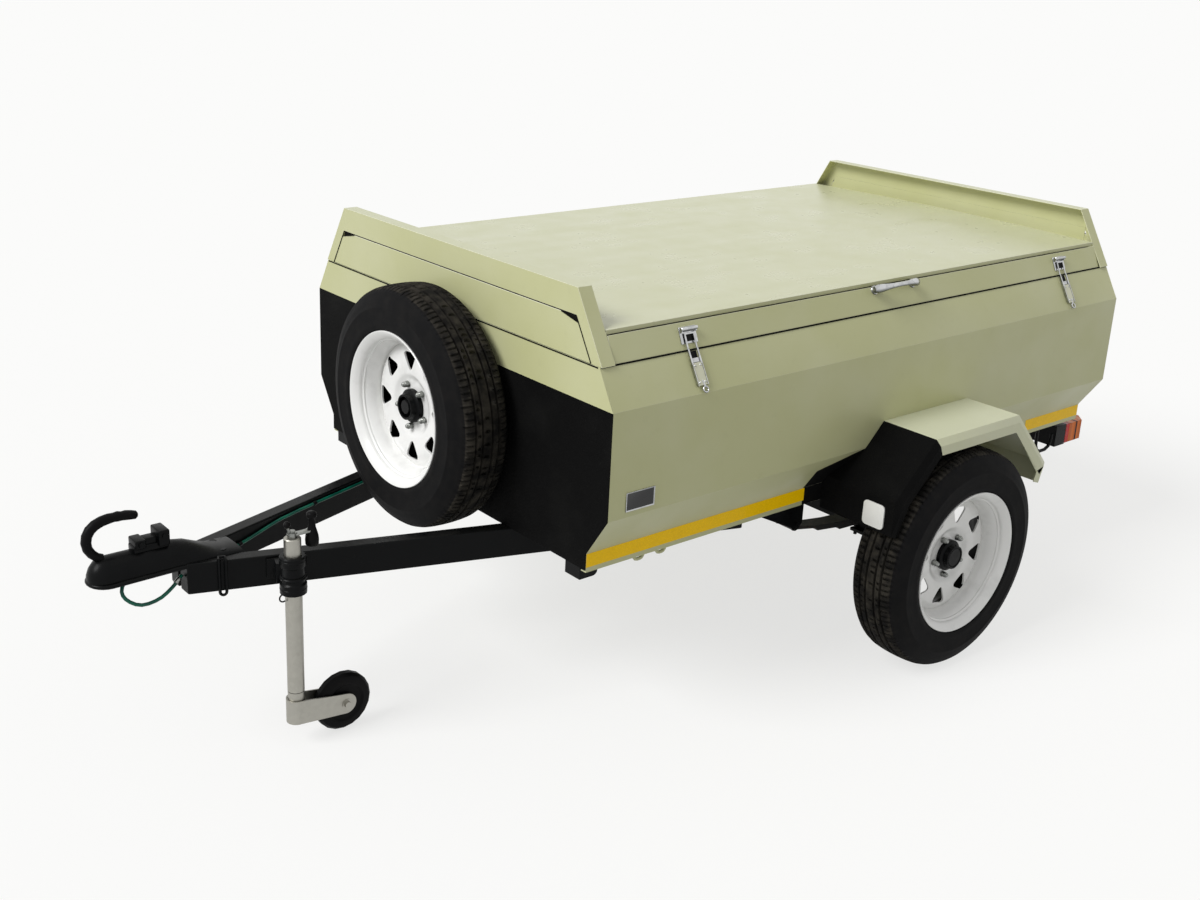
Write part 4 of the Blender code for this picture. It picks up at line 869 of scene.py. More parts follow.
@dataclass
class SafetyCable:
    """The green safety cable's loop, from its anchor on the drawbar to the coupler's channel."""

    radius: float = 0.004
    points: int = 20
    anchor: Spot = (-1.688 - 0.0003 - 0.004 * 0.7, -0.020, 0.400)
    stations: tuple[Spot, ...] = (
        (-1.715, -0.030, 0.384), (-1.750, -0.038, 0.368), (-1.790, -0.040, 0.366),
        (-1.818, -0.034, 0.384), (-1.822, -0.024, 0.404), (-1.800, -0.012, 0.424), (-1.768, -0.006, 0.436))
    run_radius: float = 0.0036
    run_stations: tuple[Spot, ...] = (
        (-1.640, 0.0020, 0.4120), (-1.600, 0.0220, 0.4010), (-1.570, 0.0330, 0.3975),
        (-1.5394, 0.0482, 0.3985), (-1.5049, 0.0595, 0.4022), (-1.4726, 0.0702, 0.4070),
        (-1.4368, 0.0820, 0.4128), (-1.4004, 0.0940, 0.4170), (-1.340, 0.1138, 0.4190),
        (-1.250, 0.1434, 0.4190), (-1.160, 0.1730, 0.4190), (-1.030, 0.2158, 0.4190))
    clipped: tuple[int, ...] = (3, 8, 10)

    def route(self) -> list[Vector]:
        """The cable's centreline, one smooth curve through its stations."""
        through = [Vector(self.anchor)] + [Vector(s) for s in self.stations]
        padded = [through[0]] + through + [through[-1]]
        spans = len(through) - 1
        line = []
        for index in range(self.points):
            place = min(index * spans / (self.points - 1), spans - 1e-9)
            span = int(place)
            t = place - span
            a, b, c, d = padded[span:span + 4]
            line.append(0.5 * (2 * b + (c - a) * t + (2 * a - 5 * b + 4 * c - d) * t ** 2
                               + (3 * b - a - 3 * c + d) * t ** 3) + Vector((AXLE_X, 0, 0)))
        return line

    def build(self) -> None:
        line = self.route()
        curve = bpy.data.curves.new("safety_cable", "CURVE")
        curve.dimensions = "3D"
        curve.bevel_depth = self.radius
        curve.bevel_resolution = 6
        curve.use_fill_caps = True
        spline = curve.splines.new("POLY")
        spline.points.add(len(line) - 1)
        for point, place in zip(spline.points, line):
            point.co = (*place, 1.0)
        spline.use_smooth = True
        curve.materials.append(CABLE.material())
        cable = add_object("safety_cable", curve)
        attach(cable, Body.TRAILER.value)
        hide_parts("safety_cable_loop")
        self.ferrules(line)
        self.clipped_run()

    def clipped_run(self) -> None:
        """The fixed cable that is clipped along the far drawbar tube, with its clips."""
        line = [Vector((x + AXLE_X, y, z)) for x, y, z in self.run_stations]
        work = bmesh.new()
        add_sweep(work, line, (self.run_radius,), 12)
        Piece("drawbar_cable_run", Body.TRAILER, CABLE).finish_mesh(work)
        clips = bmesh.new()
        for near, far in ((line[index], line[index + 1]) for index in self.clipped):
            middle = (near + far) / 2
            along = (far - near).normalized() * 0.005
            add_rod(clips, middle - along, middle + along, 0.0052, 14)
        round_edges(clips, 0.0006)
        Piece("drawbar_cable_clips", Body.TRAILER, BLACK).finish_mesh(clips)

    def ferrules(self, line: list[Vector]) -> None:
        """Crimped sleeves near the two ends of the cable's centreline."""
        work = bmesh.new()
        for near, far in ((line[1], line[3]), (line[-2], line[-4])):
            add_rod(work, near, near + (far - near).normalized() * 0.014, self.radius + 0.0016, 20)
        round_edges(work, 0.0006)
        Piece("cable_ferrules", Body.TRAILER, ZINC).finish_mesh(work)


@dataclass
class RoadWheel:
    """A 13 inch spoked rim with its tyre, its wheel nuts and the hub's ring."""

    name: str
    body: Body
    centre: Spot
    heading: float
    nut_seat: float = 0.0082
    tyre_radius: float = 0.283
    tyre_half: float = 0.074
    lip_radius: float = 0.1825
    bead_radius: float = 0.166
    well_radius: float = 0.146
    lip_height: float = 0.072
    sheet: float = 0.0035
    disc_offset: float = 0.016
    disc_dish: float = 0.008
    bore: float = 0.029
    windows: int = 8
    window_radius: float = 0.111
    window_size: float = 0.0335
    window_rounding: float = 0.0155
    window_phase: float = 3.0
    groove_depth: float = 0.007
    slot_depth: float = 0.0022
    pitches: int = 120
    nuts: int = 5
    nut_circle: float = 0.0515
    nut_phase: float = 0.14
    ring_radius: float = 0.0395

    def place(self) -> Matrix:
        """The wheel's frame: Z points outwards from its middle plane."""
        return turned(self.centre, self.heading, "Z") @ turned((0, 0, 0), -90)

    def tread_section(self) -> list[Point]:
        """Half the tread, from the middle out: a centre rib, two grooves, a rib and the shoulder."""
        crown = self.tyre_radius
        bottom = crown - self.groove_depth
        return [(crown, 0.0), (crown, 0.0095), (bottom, 0.011), (bottom, 0.0145), (crown - 0.0003, 0.016),
                (crown - 0.0006, 0.0215), (crown - 0.0009, 0.027), (bottom - 0.001, 0.0285),
                (bottom - 0.001, 0.0325), (crown - 0.0016, 0.034), (crown - 0.0026, 0.042),
                (crown - 0.0050, 0.0495), (crown - 0.0085, 0.0545)]

    def wall_section(self) -> list[Point]:
        """Half the wall, from the shoulder to the bead: a shoulder step, a bulge and a rim protector."""
        half = self.tyre_half
        return [(0.270, 0.0600), (0.266, 0.0612), (0.258, 0.0662), (0.247, 0.0705), (0.238, 0.0728),
                (0.2365, 0.0737), (0.2345, half), (0.2325, half), (0.2305, 0.0736), (0.222, 0.0738),
                (0.212, 0.0731), (0.2015, 0.0727), (0.1985, 0.0731), (0.194, 0.0727), (0.1870, 0.0715),
                (0.1843, 0.0697), (0.1834, 0.0672), (0.1668, 0.0598)]

    def tyre(self) -> None:
        """Spins the tyre, then presses the lateral slots of the tread."""
        half = self.tread_section() + self.wall_section()
        steps = self.pitches * 4
        work = section_spun(half + [(radius, -height) for radius, height in reversed(half[1:])], steps)
        self.press_slots(work, steps)
        Piece(f"{self.name}_tyre", self.body, TYRE, (f"tyre_{self.name}",),
              (Patch(TREAD, self.on_tread),), 40.0).finish_mesh(work, self.place())

    def on_tread(self, centre: Vector, normal: Vector) -> bool:
        """Whether a face, in the row frame, lies on the running band."""
        local = self.place().inverted() @ centre
        return math.hypot(local.x, local.y) > self.tyre_radius - 0.0105 and abs(local.z) < 0.056

    def press_slots(self, work: Work, steps: int) -> None:
        """Presses one slot for each pitch into the shoulders, and a short one into the next ribs.

        Args:
            work: The spun tyre.
            steps: Facets round the turn, four for each pitch.
        """
        slots = []
        for face in work.faces:
            middle = face.calc_center_median()
            across = abs(middle.z)
            if math.hypot(middle.x, middle.y) < self.tyre_radius - 0.012:
                continue
            phase = int(math.atan2(middle.y, middle.x) % math.tau / math.tau * steps) % 4
            turn = 2 if middle.z > 0 else 0
            shoulder = 0.034 < across < 0.0545 and phase == turn
            inner_rib = 0.0215 < across < 0.027 and phase == (turn + 1) % 4
            centre_rib = across < 0.0094 and phase == (turn + 3) % 4 and middle.z > 0
            if shoulder or inner_rib or centre_rib:
                slots.append(face)
        pressed = bmesh.ops.extrude_face_region(work, geom=slots)["geom"]
        for vert in {v for v in pressed if isinstance(v, bmesh.types.BMVert)}:
            vert.co -= Vector((vert.co.x, vert.co.y, 0)).normalized() * self.slot_depth

    def rim_section(self) -> list[Point]:
        """The rim's section: rolled lips, bead seats, drop well and dished disc, listed round."""
        lip, bead, well, sheet, high = (self.lip_radius, self.bead_radius, self.well_radius, self.sheet,
                                        self.lip_height)
        front = self.disc_offset
        dish = front - self.disc_dish
        back = front - sheet
        front_lip = [(lip - 0.0035, high - 0.0006), (lip - 0.0012, high), (lip, high - 0.0012),
                     (lip, high - 0.004), (lip - 0.0030, high - 0.0062), (bead + 0.003, high - 0.0118),
                     (bead, high - 0.0145)]
        barrel = [(bead - 0.0005, 0.046), (well + sheet + 0.004, 0.031), (well + sheet, 0.026),
                  (well + sheet, -0.016), (well + sheet + 0.003, -0.022), (bead - 0.0006, -0.050),
                  (bead, -0.0575), (bead + 0.003, -0.0602)]
        rear_lip = [(lip - 0.003, -0.0658), (lip, -0.068), (lip, -high + 0.0012), (lip - 0.0012, -high),
                    (lip - 0.0035, -high + 0.0006)]
        inside = [(bead - 0.001, 0.004 + 0.0118 - high), (bead - sheet, -0.0555),
                  (bead - sheet - 0.0006, -0.050), (well + 0.003, -0.021), (well, -0.015),
                  (well, front - 0.014)]
        disc_rear = [(0.138, back - 0.004), (0.128, back - 0.0005), (0.080, back),
                     (0.066, dish - sheet + 0.001), (0.060, dish - sheet), (self.bore, dish - sheet)]
        disc_front = [(self.bore, dish), (0.058, dish), (0.0645, dish + 0.0012), (0.0705, dish + 0.0058),
                      (0.078, front), (0.126, front + 0.0008), (0.136, front - 0.0026), (well, front - 0.009)]
        mouth = [(well, 0.0255), (well + 0.0035, 0.0305), (well + 0.0040, 0.0335),
                 (bead - sheet - 0.0045, 0.0440), (bead - sheet - 0.0045, 0.0475),
                 (bead - sheet - 0.0005, 0.0505), (bead - sheet, high - 0.0160),
                 (bead - 0.001, high - 0.0128)]
        return front_lip + barrel + rear_lip + inside + disc_rear + disc_front + mouth

    def window_tool(self) -> bpy.types.Object:
        """Rounded three-sided prisms that point outwards and inwards in turn."""
        work = bmesh.new()
        for index in range(self.windows):
            towards = math.radians(self.window_phase + 360 * index / self.windows)
            flip = 0.0 if index % 2 else math.pi
            made = bmesh.ops.create_circle(work, cap_ends=True, segments=3, radius=self.window_size)["verts"]
            corners = bevel(work, made, self.window_rounding, 4, "VERTICES")
            outline = set(corners["verts"]) | {v for v in made if v.is_valid}
            face = next(f for v in outline for f in v.link_faces)
            spot = (Matrix.Translation((self.window_radius * math.cos(towards),
                                        self.window_radius * math.sin(towards), -0.02))
                    @ Matrix.Rotation(towards + flip - math.pi / 2, 4, "Z"))
            pulled = bmesh.ops.extrude_face_region(work, geom=[face], use_keep_orig=True)["geom"]
            top = [v for v in pulled if isinstance(v, bmesh.types.BMVert)]
            bmesh.ops.translate(work, vec=(0, 0, 0.06), verts=top)
            bmesh.ops.transform(work, matrix=spot, verts=list(set(face.verts) | set(top)))
        bmesh.ops.recalc_face_normals(work, faces=work.faces)
        return add_object("window tool", to_mesh(work, "window tool"))

    def rim(self) -> None:
        """Spins the rim and cuts its windows."""
        blank = add_object("rim blank", to_mesh(section_spun(self.rim_section(), 96), "rim blank"))
        tool = self.window_tool()
        pierce = blank.modifiers.new("Windows", "BOOLEAN")
        pierce.operation = "DIFFERENCE"
        pierce.solver = "EXACT"
        pierce.object = tool
        bpy.context.view_layer.update()
        pierced = bpy.data.meshes.new_from_object(blank.evaluated_get(bpy.context.evaluated_depsgraph_get()))
        for used in (blank, tool):
            bpy.data.objects.remove(used, do_unlink=True)
        pierced.transform(self.place())
        # The black back of the disc and barrel is partly primer and partly painted shade seen through the
        # windows
        Piece(f"{self.name}_rim", self.body, WHITE, (f"rim_{self.name}",),
              (Patch(BLACK, self.shaded_back_of_disc),), 35.0).finish_data(pierced)

    def shaded_back_of_disc(self, centre: Vector, normal: Vector) -> bool:
        """Whether a face, in the row frame, lies on the back of the disc or the barrel behind it: black
        primer, which is also painted shade so that the windows look dark.
        """
        inwards = self.place().inverted()
        local = inwards @ centre
        facing = inwards.to_3x3() @ normal
        return -0.0745 < local.z < 0.0128 and facing.z < 0.5 and math.hypot(local.x, local.y) < 0.1645

    def hub_ring(self) -> None:
        """The hub's black register ring with its sunk, faceted cap."""
        ring = self.ring_radius
        work = section_spun([(0.0285, 0.0084), (ring, 0.0084), (ring, 0.0185), (ring - 0.002, 0.0205),
                             (0.0312, 0.0225), (0.0300, 0.0345), (0.0270, 0.0352), (0.0252, 0.0342),
                             (0.0246, 0.0300), (0.0285, 0.0285)], 40)
        add_rod(work, Vector((0, 0, 0.0255)), Vector((0, 0, 0.0336)), 0.0205, 8, 0.0165)
        Piece(f"{self.name}_hub_ring", self.body, BLACK).finish_mesh(work, self.place())

    def wheel_nuts(self) -> None:
        """Cone-seat nuts on their studs: the cone, the hexagon, its domed end and the stud."""
        work = bmesh.new()
        up = Vector((0, 0, 1))
        for index in range(self.nuts):
            angle = math.tau * (index + self.nut_phase) / self.nuts
            out = self.nut_circle
            foot = Vector((out * math.cos(angle), out * math.sin(angle), self.nut_seat))
            for low, high, radius, sides, end_radius in (
                    (0.0, 0.003, 0.0064, 18, 0.0086), (0.003, 0.012, 0.0076, 6, None),
                    (0.013, 0.0150, 0.0066, 18, 0.0056), (0.010, 0.0175, 0.0046, 14, None)):
                add_rod(work, foot + up * low, foot + up * high, radius, sides, end_radius)
        round_edges(work, 0.0007, 1, 40)
        Piece(f"{self.name}_wheel_nuts", self.body, ZINC).finish_mesh(work, self.place())

    def build(self) -> None:
        """Makes the tyre, the rim, its nuts and the hub's ring."""
        self.tyre()
        self.rim()
        self.wheel_nuts()
        self.hub_ring()


@dataclass
class Bodywork:
    """The folded tub, lid and mudguards: their enamel, stone guard, tape, badge and reflectors."""

    guard_line: float = 0.8025
    guard_corner: Spot = (0.3405, 0.0, 0.6230)
    guard_mitre: Spot = (0.9236, 0.0, 0.3833)
    sill_face: float = 0.5315
    tape_thickness: float = 0.0006
    tape_low: float = 0.4370
    tape_high: float = 0.4688
    tape_runs: tuple[Point, ...] = ((-1.0125, -0.333), (0.584, 0.8445))
    splash: Spot = (0.142, 0.600, 0.5645)
    splash_drop: float = 0.0395
    splash_slope: float = 0.2736
    badge_low: Spot = (-0.967 + AXLE_X, -0.5975, 0.577)
    badge_high: Spot = (-0.887 + AXLE_X, -0.5952, 0.620)
    badge_frame: float = 0.0028
    reflector_x: float = -0.270 + AXLE_X

    def build(self) -> None:
        """Makes the sheets, then what is fixed to them."""
        self.sheets()
        self.flanks()
        self.front_wall()
        self.mudguards()
        self.tape()
        self.badge()
        self.reflectors()

    def sheets(self) -> None:
        """Every sheet in plain enamel."""
        plain = [(Body.TRAILER, name, KHAKI) for name in ("tub_rear_wall", "tub_floor")]
        plain += [(Body.LID, f"lid_{name}", KHAKI) for name in (
            "skirt_left", "skirt_right", "frame_front", "frame_rear", "panel_front", "panel_rear")]
        for body, name, finish in plain + [(Body.LID, "lid_top", DRAWN_KHAKI)]:
            PressedPart(f"{name}_sheet", body, finish, (name,), edge_finish=PALE_KHAKI).build()

    def flanks(self) -> None:
        """The tub's sides, with stone guard on the low part that the wheels throw grit at."""
        first, last, top = self.splash
        foot = top - self.splash_drop

        def split(work: Work) -> None:
            """Cuts the sheet along the coat's four edges."""
            for x in (first, last):
                cut(work, (x, 0, 0), (1, 0, 0))
            cut(work, (0, 0, top), (0, 0, 1))
            cut(work, (first, 0, foot), (-self.splash_slope, 0, 1))

        for name, side in SIDES:
            def coated(centre: Vector, normal: Vector, side: int = side) -> bool:
                """Whether a face is on the coated part, outside."""
                slope_top = foot + (centre.x - first) * self.splash_slope
                return normal.y * side > 0.3 and first < centre.x < last and centre.z < min(top, slope_top)

            PressedPart(f"tub_side_{name}_sheet", Body.TRAILER, KHAKI, (f"tub_side_{name}",),
                        (Patch(GUARD, coated),), edge_finish=PALE_KHAKI).build(split)

    def front_wall(self) -> None:
        """The front wall: enamel above the flank's fold, stone guard below it."""
        below = Patch(GUARD, lambda centre, normal: centre.z < self.guard_line and normal.x < 0.5)
        PressedPart("front_wall_sheet", Body.TRAILER, KHAKI, ("tub_front_wall",), (below,),
                    edge=0.0008).build(lambda work: cut(work, (0, 0, self.guard_line), (0, 0, 1)))

    def mudguards(self) -> None:
        """The mudguards: enamel on top and behind, stone guard in front and inside, parted at a mitre."""
        corner, across = Vector(self.guard_corner), Vector(self.guard_mitre)

        def guarded(centre: Vector, normal: Vector) -> bool:
            """Whether a face is on the front panel and chamfer, or below the level top."""
            ahead = (Vector((centre.x, 0, centre.z)) - corner).dot(across) < 0
            return ahead or (normal.z < -0.85 and centre.z > 0.55)

        for side, _ in SIDES:
            PressedPart(f"mudguard_{side}_sheet", Body.TRAILER, BLEACHED, (f"mudguard_{side}",),
                        (Patch(GUARD, guarded),), edge=0.0008).build(lambda work: cut(work, corner, across))

    def tape(self) -> None:
        """Yellow reflective tape along the sill, ahead of and behind each wheel."""
        for name, side in SIDES:
            work = bmesh.new()
            near, far = spread(side, self.sill_face, self.sill_face + self.tape_thickness)
            for start, end in self.tape_runs:
                add_box(work, (start + AXLE_X, near, self.tape_low), (end + AXLE_X, far, self.tape_high))
            Piece(f"sill_tape_{name}", Body.TRAILER, YELLOW_TAPE).finish_mesh(work)

    def badge(self) -> None:
        """A bare plate in a chromed frame, low at the front of the left flank."""
        work = bmesh.new()
        add_box(work, self.badge_low, self.badge_high)
        outer = min(work.faces, key=lambda face: face.calc_center_median().y)
        bmesh.ops.inset_region(work, faces=[outer], thickness=self.badge_frame, use_even_offset=True)
        bmesh.ops.translate(work, vec=(0, 0.0012, 0), verts=outer.verts)
        round_edges(work, 0.0006)
        inset = Vector((0.0035, 0, 0.0035))
        low, high = Vector(self.badge_low) + inset, Vector(self.badge_high) - inset

        def on_field(centre: Vector, normal: Vector) -> bool:
            """Whether a face is the plate's sunk field."""
            return normal.y < -0.9 and low.x < centre.x < high.x and low.z < centre.z < high.z

        Piece("bare_badge_plate", Body.TRAILER, CHROME, (), (Patch(BADGE_FIELD, on_field),)).finish_mesh(work)

    def reflectors(self) -> None:
        """A white reflector with rounded corners on each mudguard's front panel."""
        work = bmesh.new()
        x = self.reflector_x
        for side in (-1, 1):
            near, far = spread(side, 0.667, 0.729)
            add_box(work, (x - 0.0048, near, 0.4140), (x - 0.0003, far, 0.4750))
        bevel(work, [edge for edge in work.edges
                     if abs((edge.verts[0].co - edge.verts[1].co).normalized().x) > 0.9], 0.011, 6)
        round_edges(work, 0.0010)
        Piece("front_reflectors", Body.TRAILER, WHITE_REFLECTOR).finish_mesh(work)


@dataclass
class SlopeFrame:
    """A frame on one of the side's sloping sheets: X along the trailer, Y outwards, Z up the slope."""

    up: Point
    side: int = -1
    foot: Point = (0.547, 0.8873)

    def at(self, x: float, along: float = 0.0) -> Matrix:
        """The frame at one station.

        Args:
            x: The station along the trailer.
            along: How far up the slope it lies.

        Returns:
            The frame, which is mirrored where that side asks for it.
        """
        rise_y, rise_z = self.up
        up = Vector((0, -self.side * rise_y, rise_z))
        out = Vector((0, self.side * rise_z, rise_y))
        foot = Vector((x, self.side * self.foot[0], self.foot[1])) + up * along
        return Matrix.Translation(foot) @ Matrix(((1, 0, 0), out, up)).transposed().to_4x4()


@dataclass
class Fittings:
    """The lid's seals, over-centre latches and bow handle."""

    skirt: SlopeFrame = field(default_factory=lambda: SlopeFrame((0.4158, 0.9094)))
    flank: SlopeFrame = field(default_factory=lambda: SlopeFrame((0.4939, 0.8695)))
    latch_stations: tuple[tuple[str, float], ...] = (("front", -0.2825), ("rear", 1.1015))
    middle_x: float = 0.3955
    wall_x: float = -0.5355
    handle_x: float = 0.406
    handle_up: float = 0.0520
    boss: float = 0.071
    half_bow: tuple[Spot, ...] = ((0.0800, 0.0100, 0.0070), (0.0730, 0.0130, 0.0100),
                                  (0.0610, 0.0175, 0.0098), (0.0450, 0.0240, 0.0074),
                                  (0.0250, 0.0290, 0.0058))
    bow_middle: Spot = (0.0, 0.0305, 0.0052)
    panel_outline: tuple[Point, ...] = ((0.5179, 0.8885), (0.4734, 0.9632), (0.4164, 0.9752))
    frame_outline: tuple[Point, ...] = ((0.5182, 0.8885), (0.4652, 0.9777))
    bead: float = 0.0011

    def build(self) -> None:
        """Makes the seals, the mastic, the latches and the handle."""
        self.seals()
        self.mastic()
        for name, x in self.latch_stations:
            self.keeper(name, x)
            self.lever(name, x)
        self.handle()

    def seals(self) -> None:
        """The sponge rubber strip under the lid's edge, which shows as a dark joint and also stands for the
        shadow of the lid's edge: painted shade.
        """
        work = bmesh.new()
        rear_x = 2 * self.middle_x - self.wall_x
        # Black strips along both flanks and across both ends: seal, and painted shade under the lid's edge
        for side in (-1, 1):
            add_box(work, (self.wall_x + 0.003, 0.0003, -0.0034), (rear_x - 0.003, 0.0011, 0.0004),
                    SlopeFrame(self.flank.up, side).at(0.0))
        for x in (self.wall_x, rear_x):
            add_box(work, (x - 0.0009, -0.543, 0.8838), (x + 0.0009, 0.543, 0.8868))
        Piece("lid_seal_and_shadow", Body.TRAILER, SEAL_AND_SHADE).finish_mesh(work)

    def mastic(self) -> None:
        """Sealant beads round the inset end panels, and the shadow plates behind their slits."""
        def inside(centre: Vector, normal: Vector) -> bool:
            """Whether a face looks in over the lid."""
            return (centre.x - self.middle_x) * normal.x < -0.5 and abs(centre.y) < 0.1

        def station(end: int, x: float) -> float:
            """A station at the front end, 1, or the same one at the rear end, -1."""
            return self.middle_x + end * (x - self.middle_x)

        work = bmesh.new()
        for end in (1, -1):
            for side in (-1, 1):
                for outline in (self.panel_outline, self.frame_outline):
                    line = [Vector((station(end, -0.5345), side * y, z)) for y, z in outline]
                    add_sweep(work, line, (self.bead,), 8)
            # Black plates behind the slits: painted shade
            low, high = sorted((station(end, -0.5314), station(end, -0.5306)))
            add_box(work, (low, -0.468, 0.942), (high, 0.468, 0.982))
        Piece("end_panel_mastic_and_shadow_plates", Body.LID, SEAL_AND_SHADE, (), (Patch(KHAKI, inside),)).finish_mesh(work)

    def keeper(self, name: str, x: float) -> None:
        """A latch's plate on the skirt, with its rolled bar, and a black patch for its slot that is painted
        shade.

        Args:
            name: Which latch.
            x: Its station.
        """
        place = self.skirt.at(x)
        work = bmesh.new()
        add_box(work, (-0.024, 0.0002, 0.0130), (0.024, 0.0020, 0.0500))
        for end in (-1, 1):
            low, high = spread(end, 0.0185, 0.0225)
            add_box(work, (low, 0.0010, 0.0370), (high, 0.0085, 0.0480))
        round_edges(work, 0.0006)
        add_sweep(work, [Vector((across, 0.0085, 0.0440)) for across in (-0.0235, -0.0225, 0.0225, 0.0235)],
                  (0.0030, 0.0044, 0.0044, 0.0030), 16)
        bmesh.ops.transform(work, matrix=place, verts=work.verts)
        Piece(f"latch_keeper_{name}_chromed", Body.LID, CHROME, (f"latch_keeper_{name}",)).finish_mesh(work)
        # The black patch stands for the shade in the keeper's slot: painted shade
        slot = bmesh.new()
        add_box(slot, (-0.0165, 0.0016, 0.0175), (0.0165, 0.0023, 0.0350), place)
        Piece(f"latch_slot_shade_{name}", Body.LID, BLACK).finish_mesh(slot)

    def lever(self, name: str, x: float) -> None:
        """A latch's lever on the flank: two straps, a painted plate between lips, a wire hook, and a black
        patch of painted shade in the gap between the straps.

        Args:
            name: Which latch.
            x: Its station.
        """
        low, high = self.flank.at(x), self.skirt.at(x)
        work = bmesh.new()
        for end in (-1, 1):
            inner, outer = spread(end, 0.0108, 0.0150)
            add_box(work, (inner, 0.0050, -0.0350), (outer, 0.0075, 0.0010), low)
            add_box(work, (inner, 0.0045, -0.0012), (outer, 0.0066, 0.0345), high)
            inner, outer = spread(end, 0.0128, 0.0146)
            add_box(work, (inner, 0.0012, -0.0820), (outer, 0.0082, -0.0300), low)
        add_box(work, (-0.0150, 0.0045, 0.0320), (0.0150, 0.0066, 0.0360), high)
        add_box(work, (-0.0120, 0.0005, -0.0300), (0.0120, 0.0048, -0.0200), low)
        round_edges(work, 0.0004, 1)
        for across, along in ((-0.0078, -0.037), (0.0078, -0.037), (-0.0078, -0.074), (0.0078, -0.074)):
            foot = Vector((across, 0.0066, along))
            add_rod(work, low @ foot, low @ (foot + Vector((0, 0.0015, 0))), 0.0024, 12, 0.0012)
        add_ring(work, low @ turned((0.0045, 0.0052, -0.0905), 90), 0.0066, 0.0018)
        stem = ((0.0045, 0.0052, -0.0845), (0.0030, 0.0058, -0.078), (0.0, 0.0060, -0.070))
        add_sweep(work, [low @ Vector(point) for point in stem], (0.0022,), 10)
        Piece(f"latch_lever_{name}_chromed", Body.TRAILER, CHROME, (f"latch_lever_{name}",)).finish_mesh(work)
        plate = bmesh.new()
        add_box(plate, (-0.0128, 0.0040, -0.0810), (0.0128, 0.0066, -0.0310), low)
        round_edges(plate, 0.0004, 1)
        Piece(f"latch_plate_{name}", Body.TRAILER, PALE_KHAKI).finish_mesh(plate)
        # Black patch between the straps: painted shade in the gap
        gap = bmesh.new()
        add_box(gap, (-0.0105, 0.0012, -0.0200), (0.0105, 0.0020, -0.0045), low)
        Piece(f"latch_gap_shade_{name}", Body.TRAILER, BLACK).finish_mesh(gap)

    def handle(self) -> None:
        """The cast bow handle: two round bosses and an arched bar, thinner in the middle."""
        place = self.skirt.at(self.handle_x, self.handle_up)
        work = bmesh.new()
        bow = [(-x, out, radius) for x, out, radius in self.half_bow]
        bow += [self.bow_middle] + list(reversed(self.half_bow))
        add_sweep(work, [place @ Vector((x, out, 0)) for x, out, _ in bow],
                  [radius for _, _, radius in bow], 18)
        for x in (-self.boss, self.boss):
            foot, rim, top = (place @ Vector((x, out, 0)) for out in (0.0002, 0.0032, 0.0142))
            add_rod(work, foot, rim, 0.0115, 24, 0.0105)
            add_rod(work, rim, top, 0.0092, 24, 0.0072)
        Piece("lid_handle_chromed", Body.LID, CHROME, ("lid_handle",), (), 45.0).finish_mesh(work)


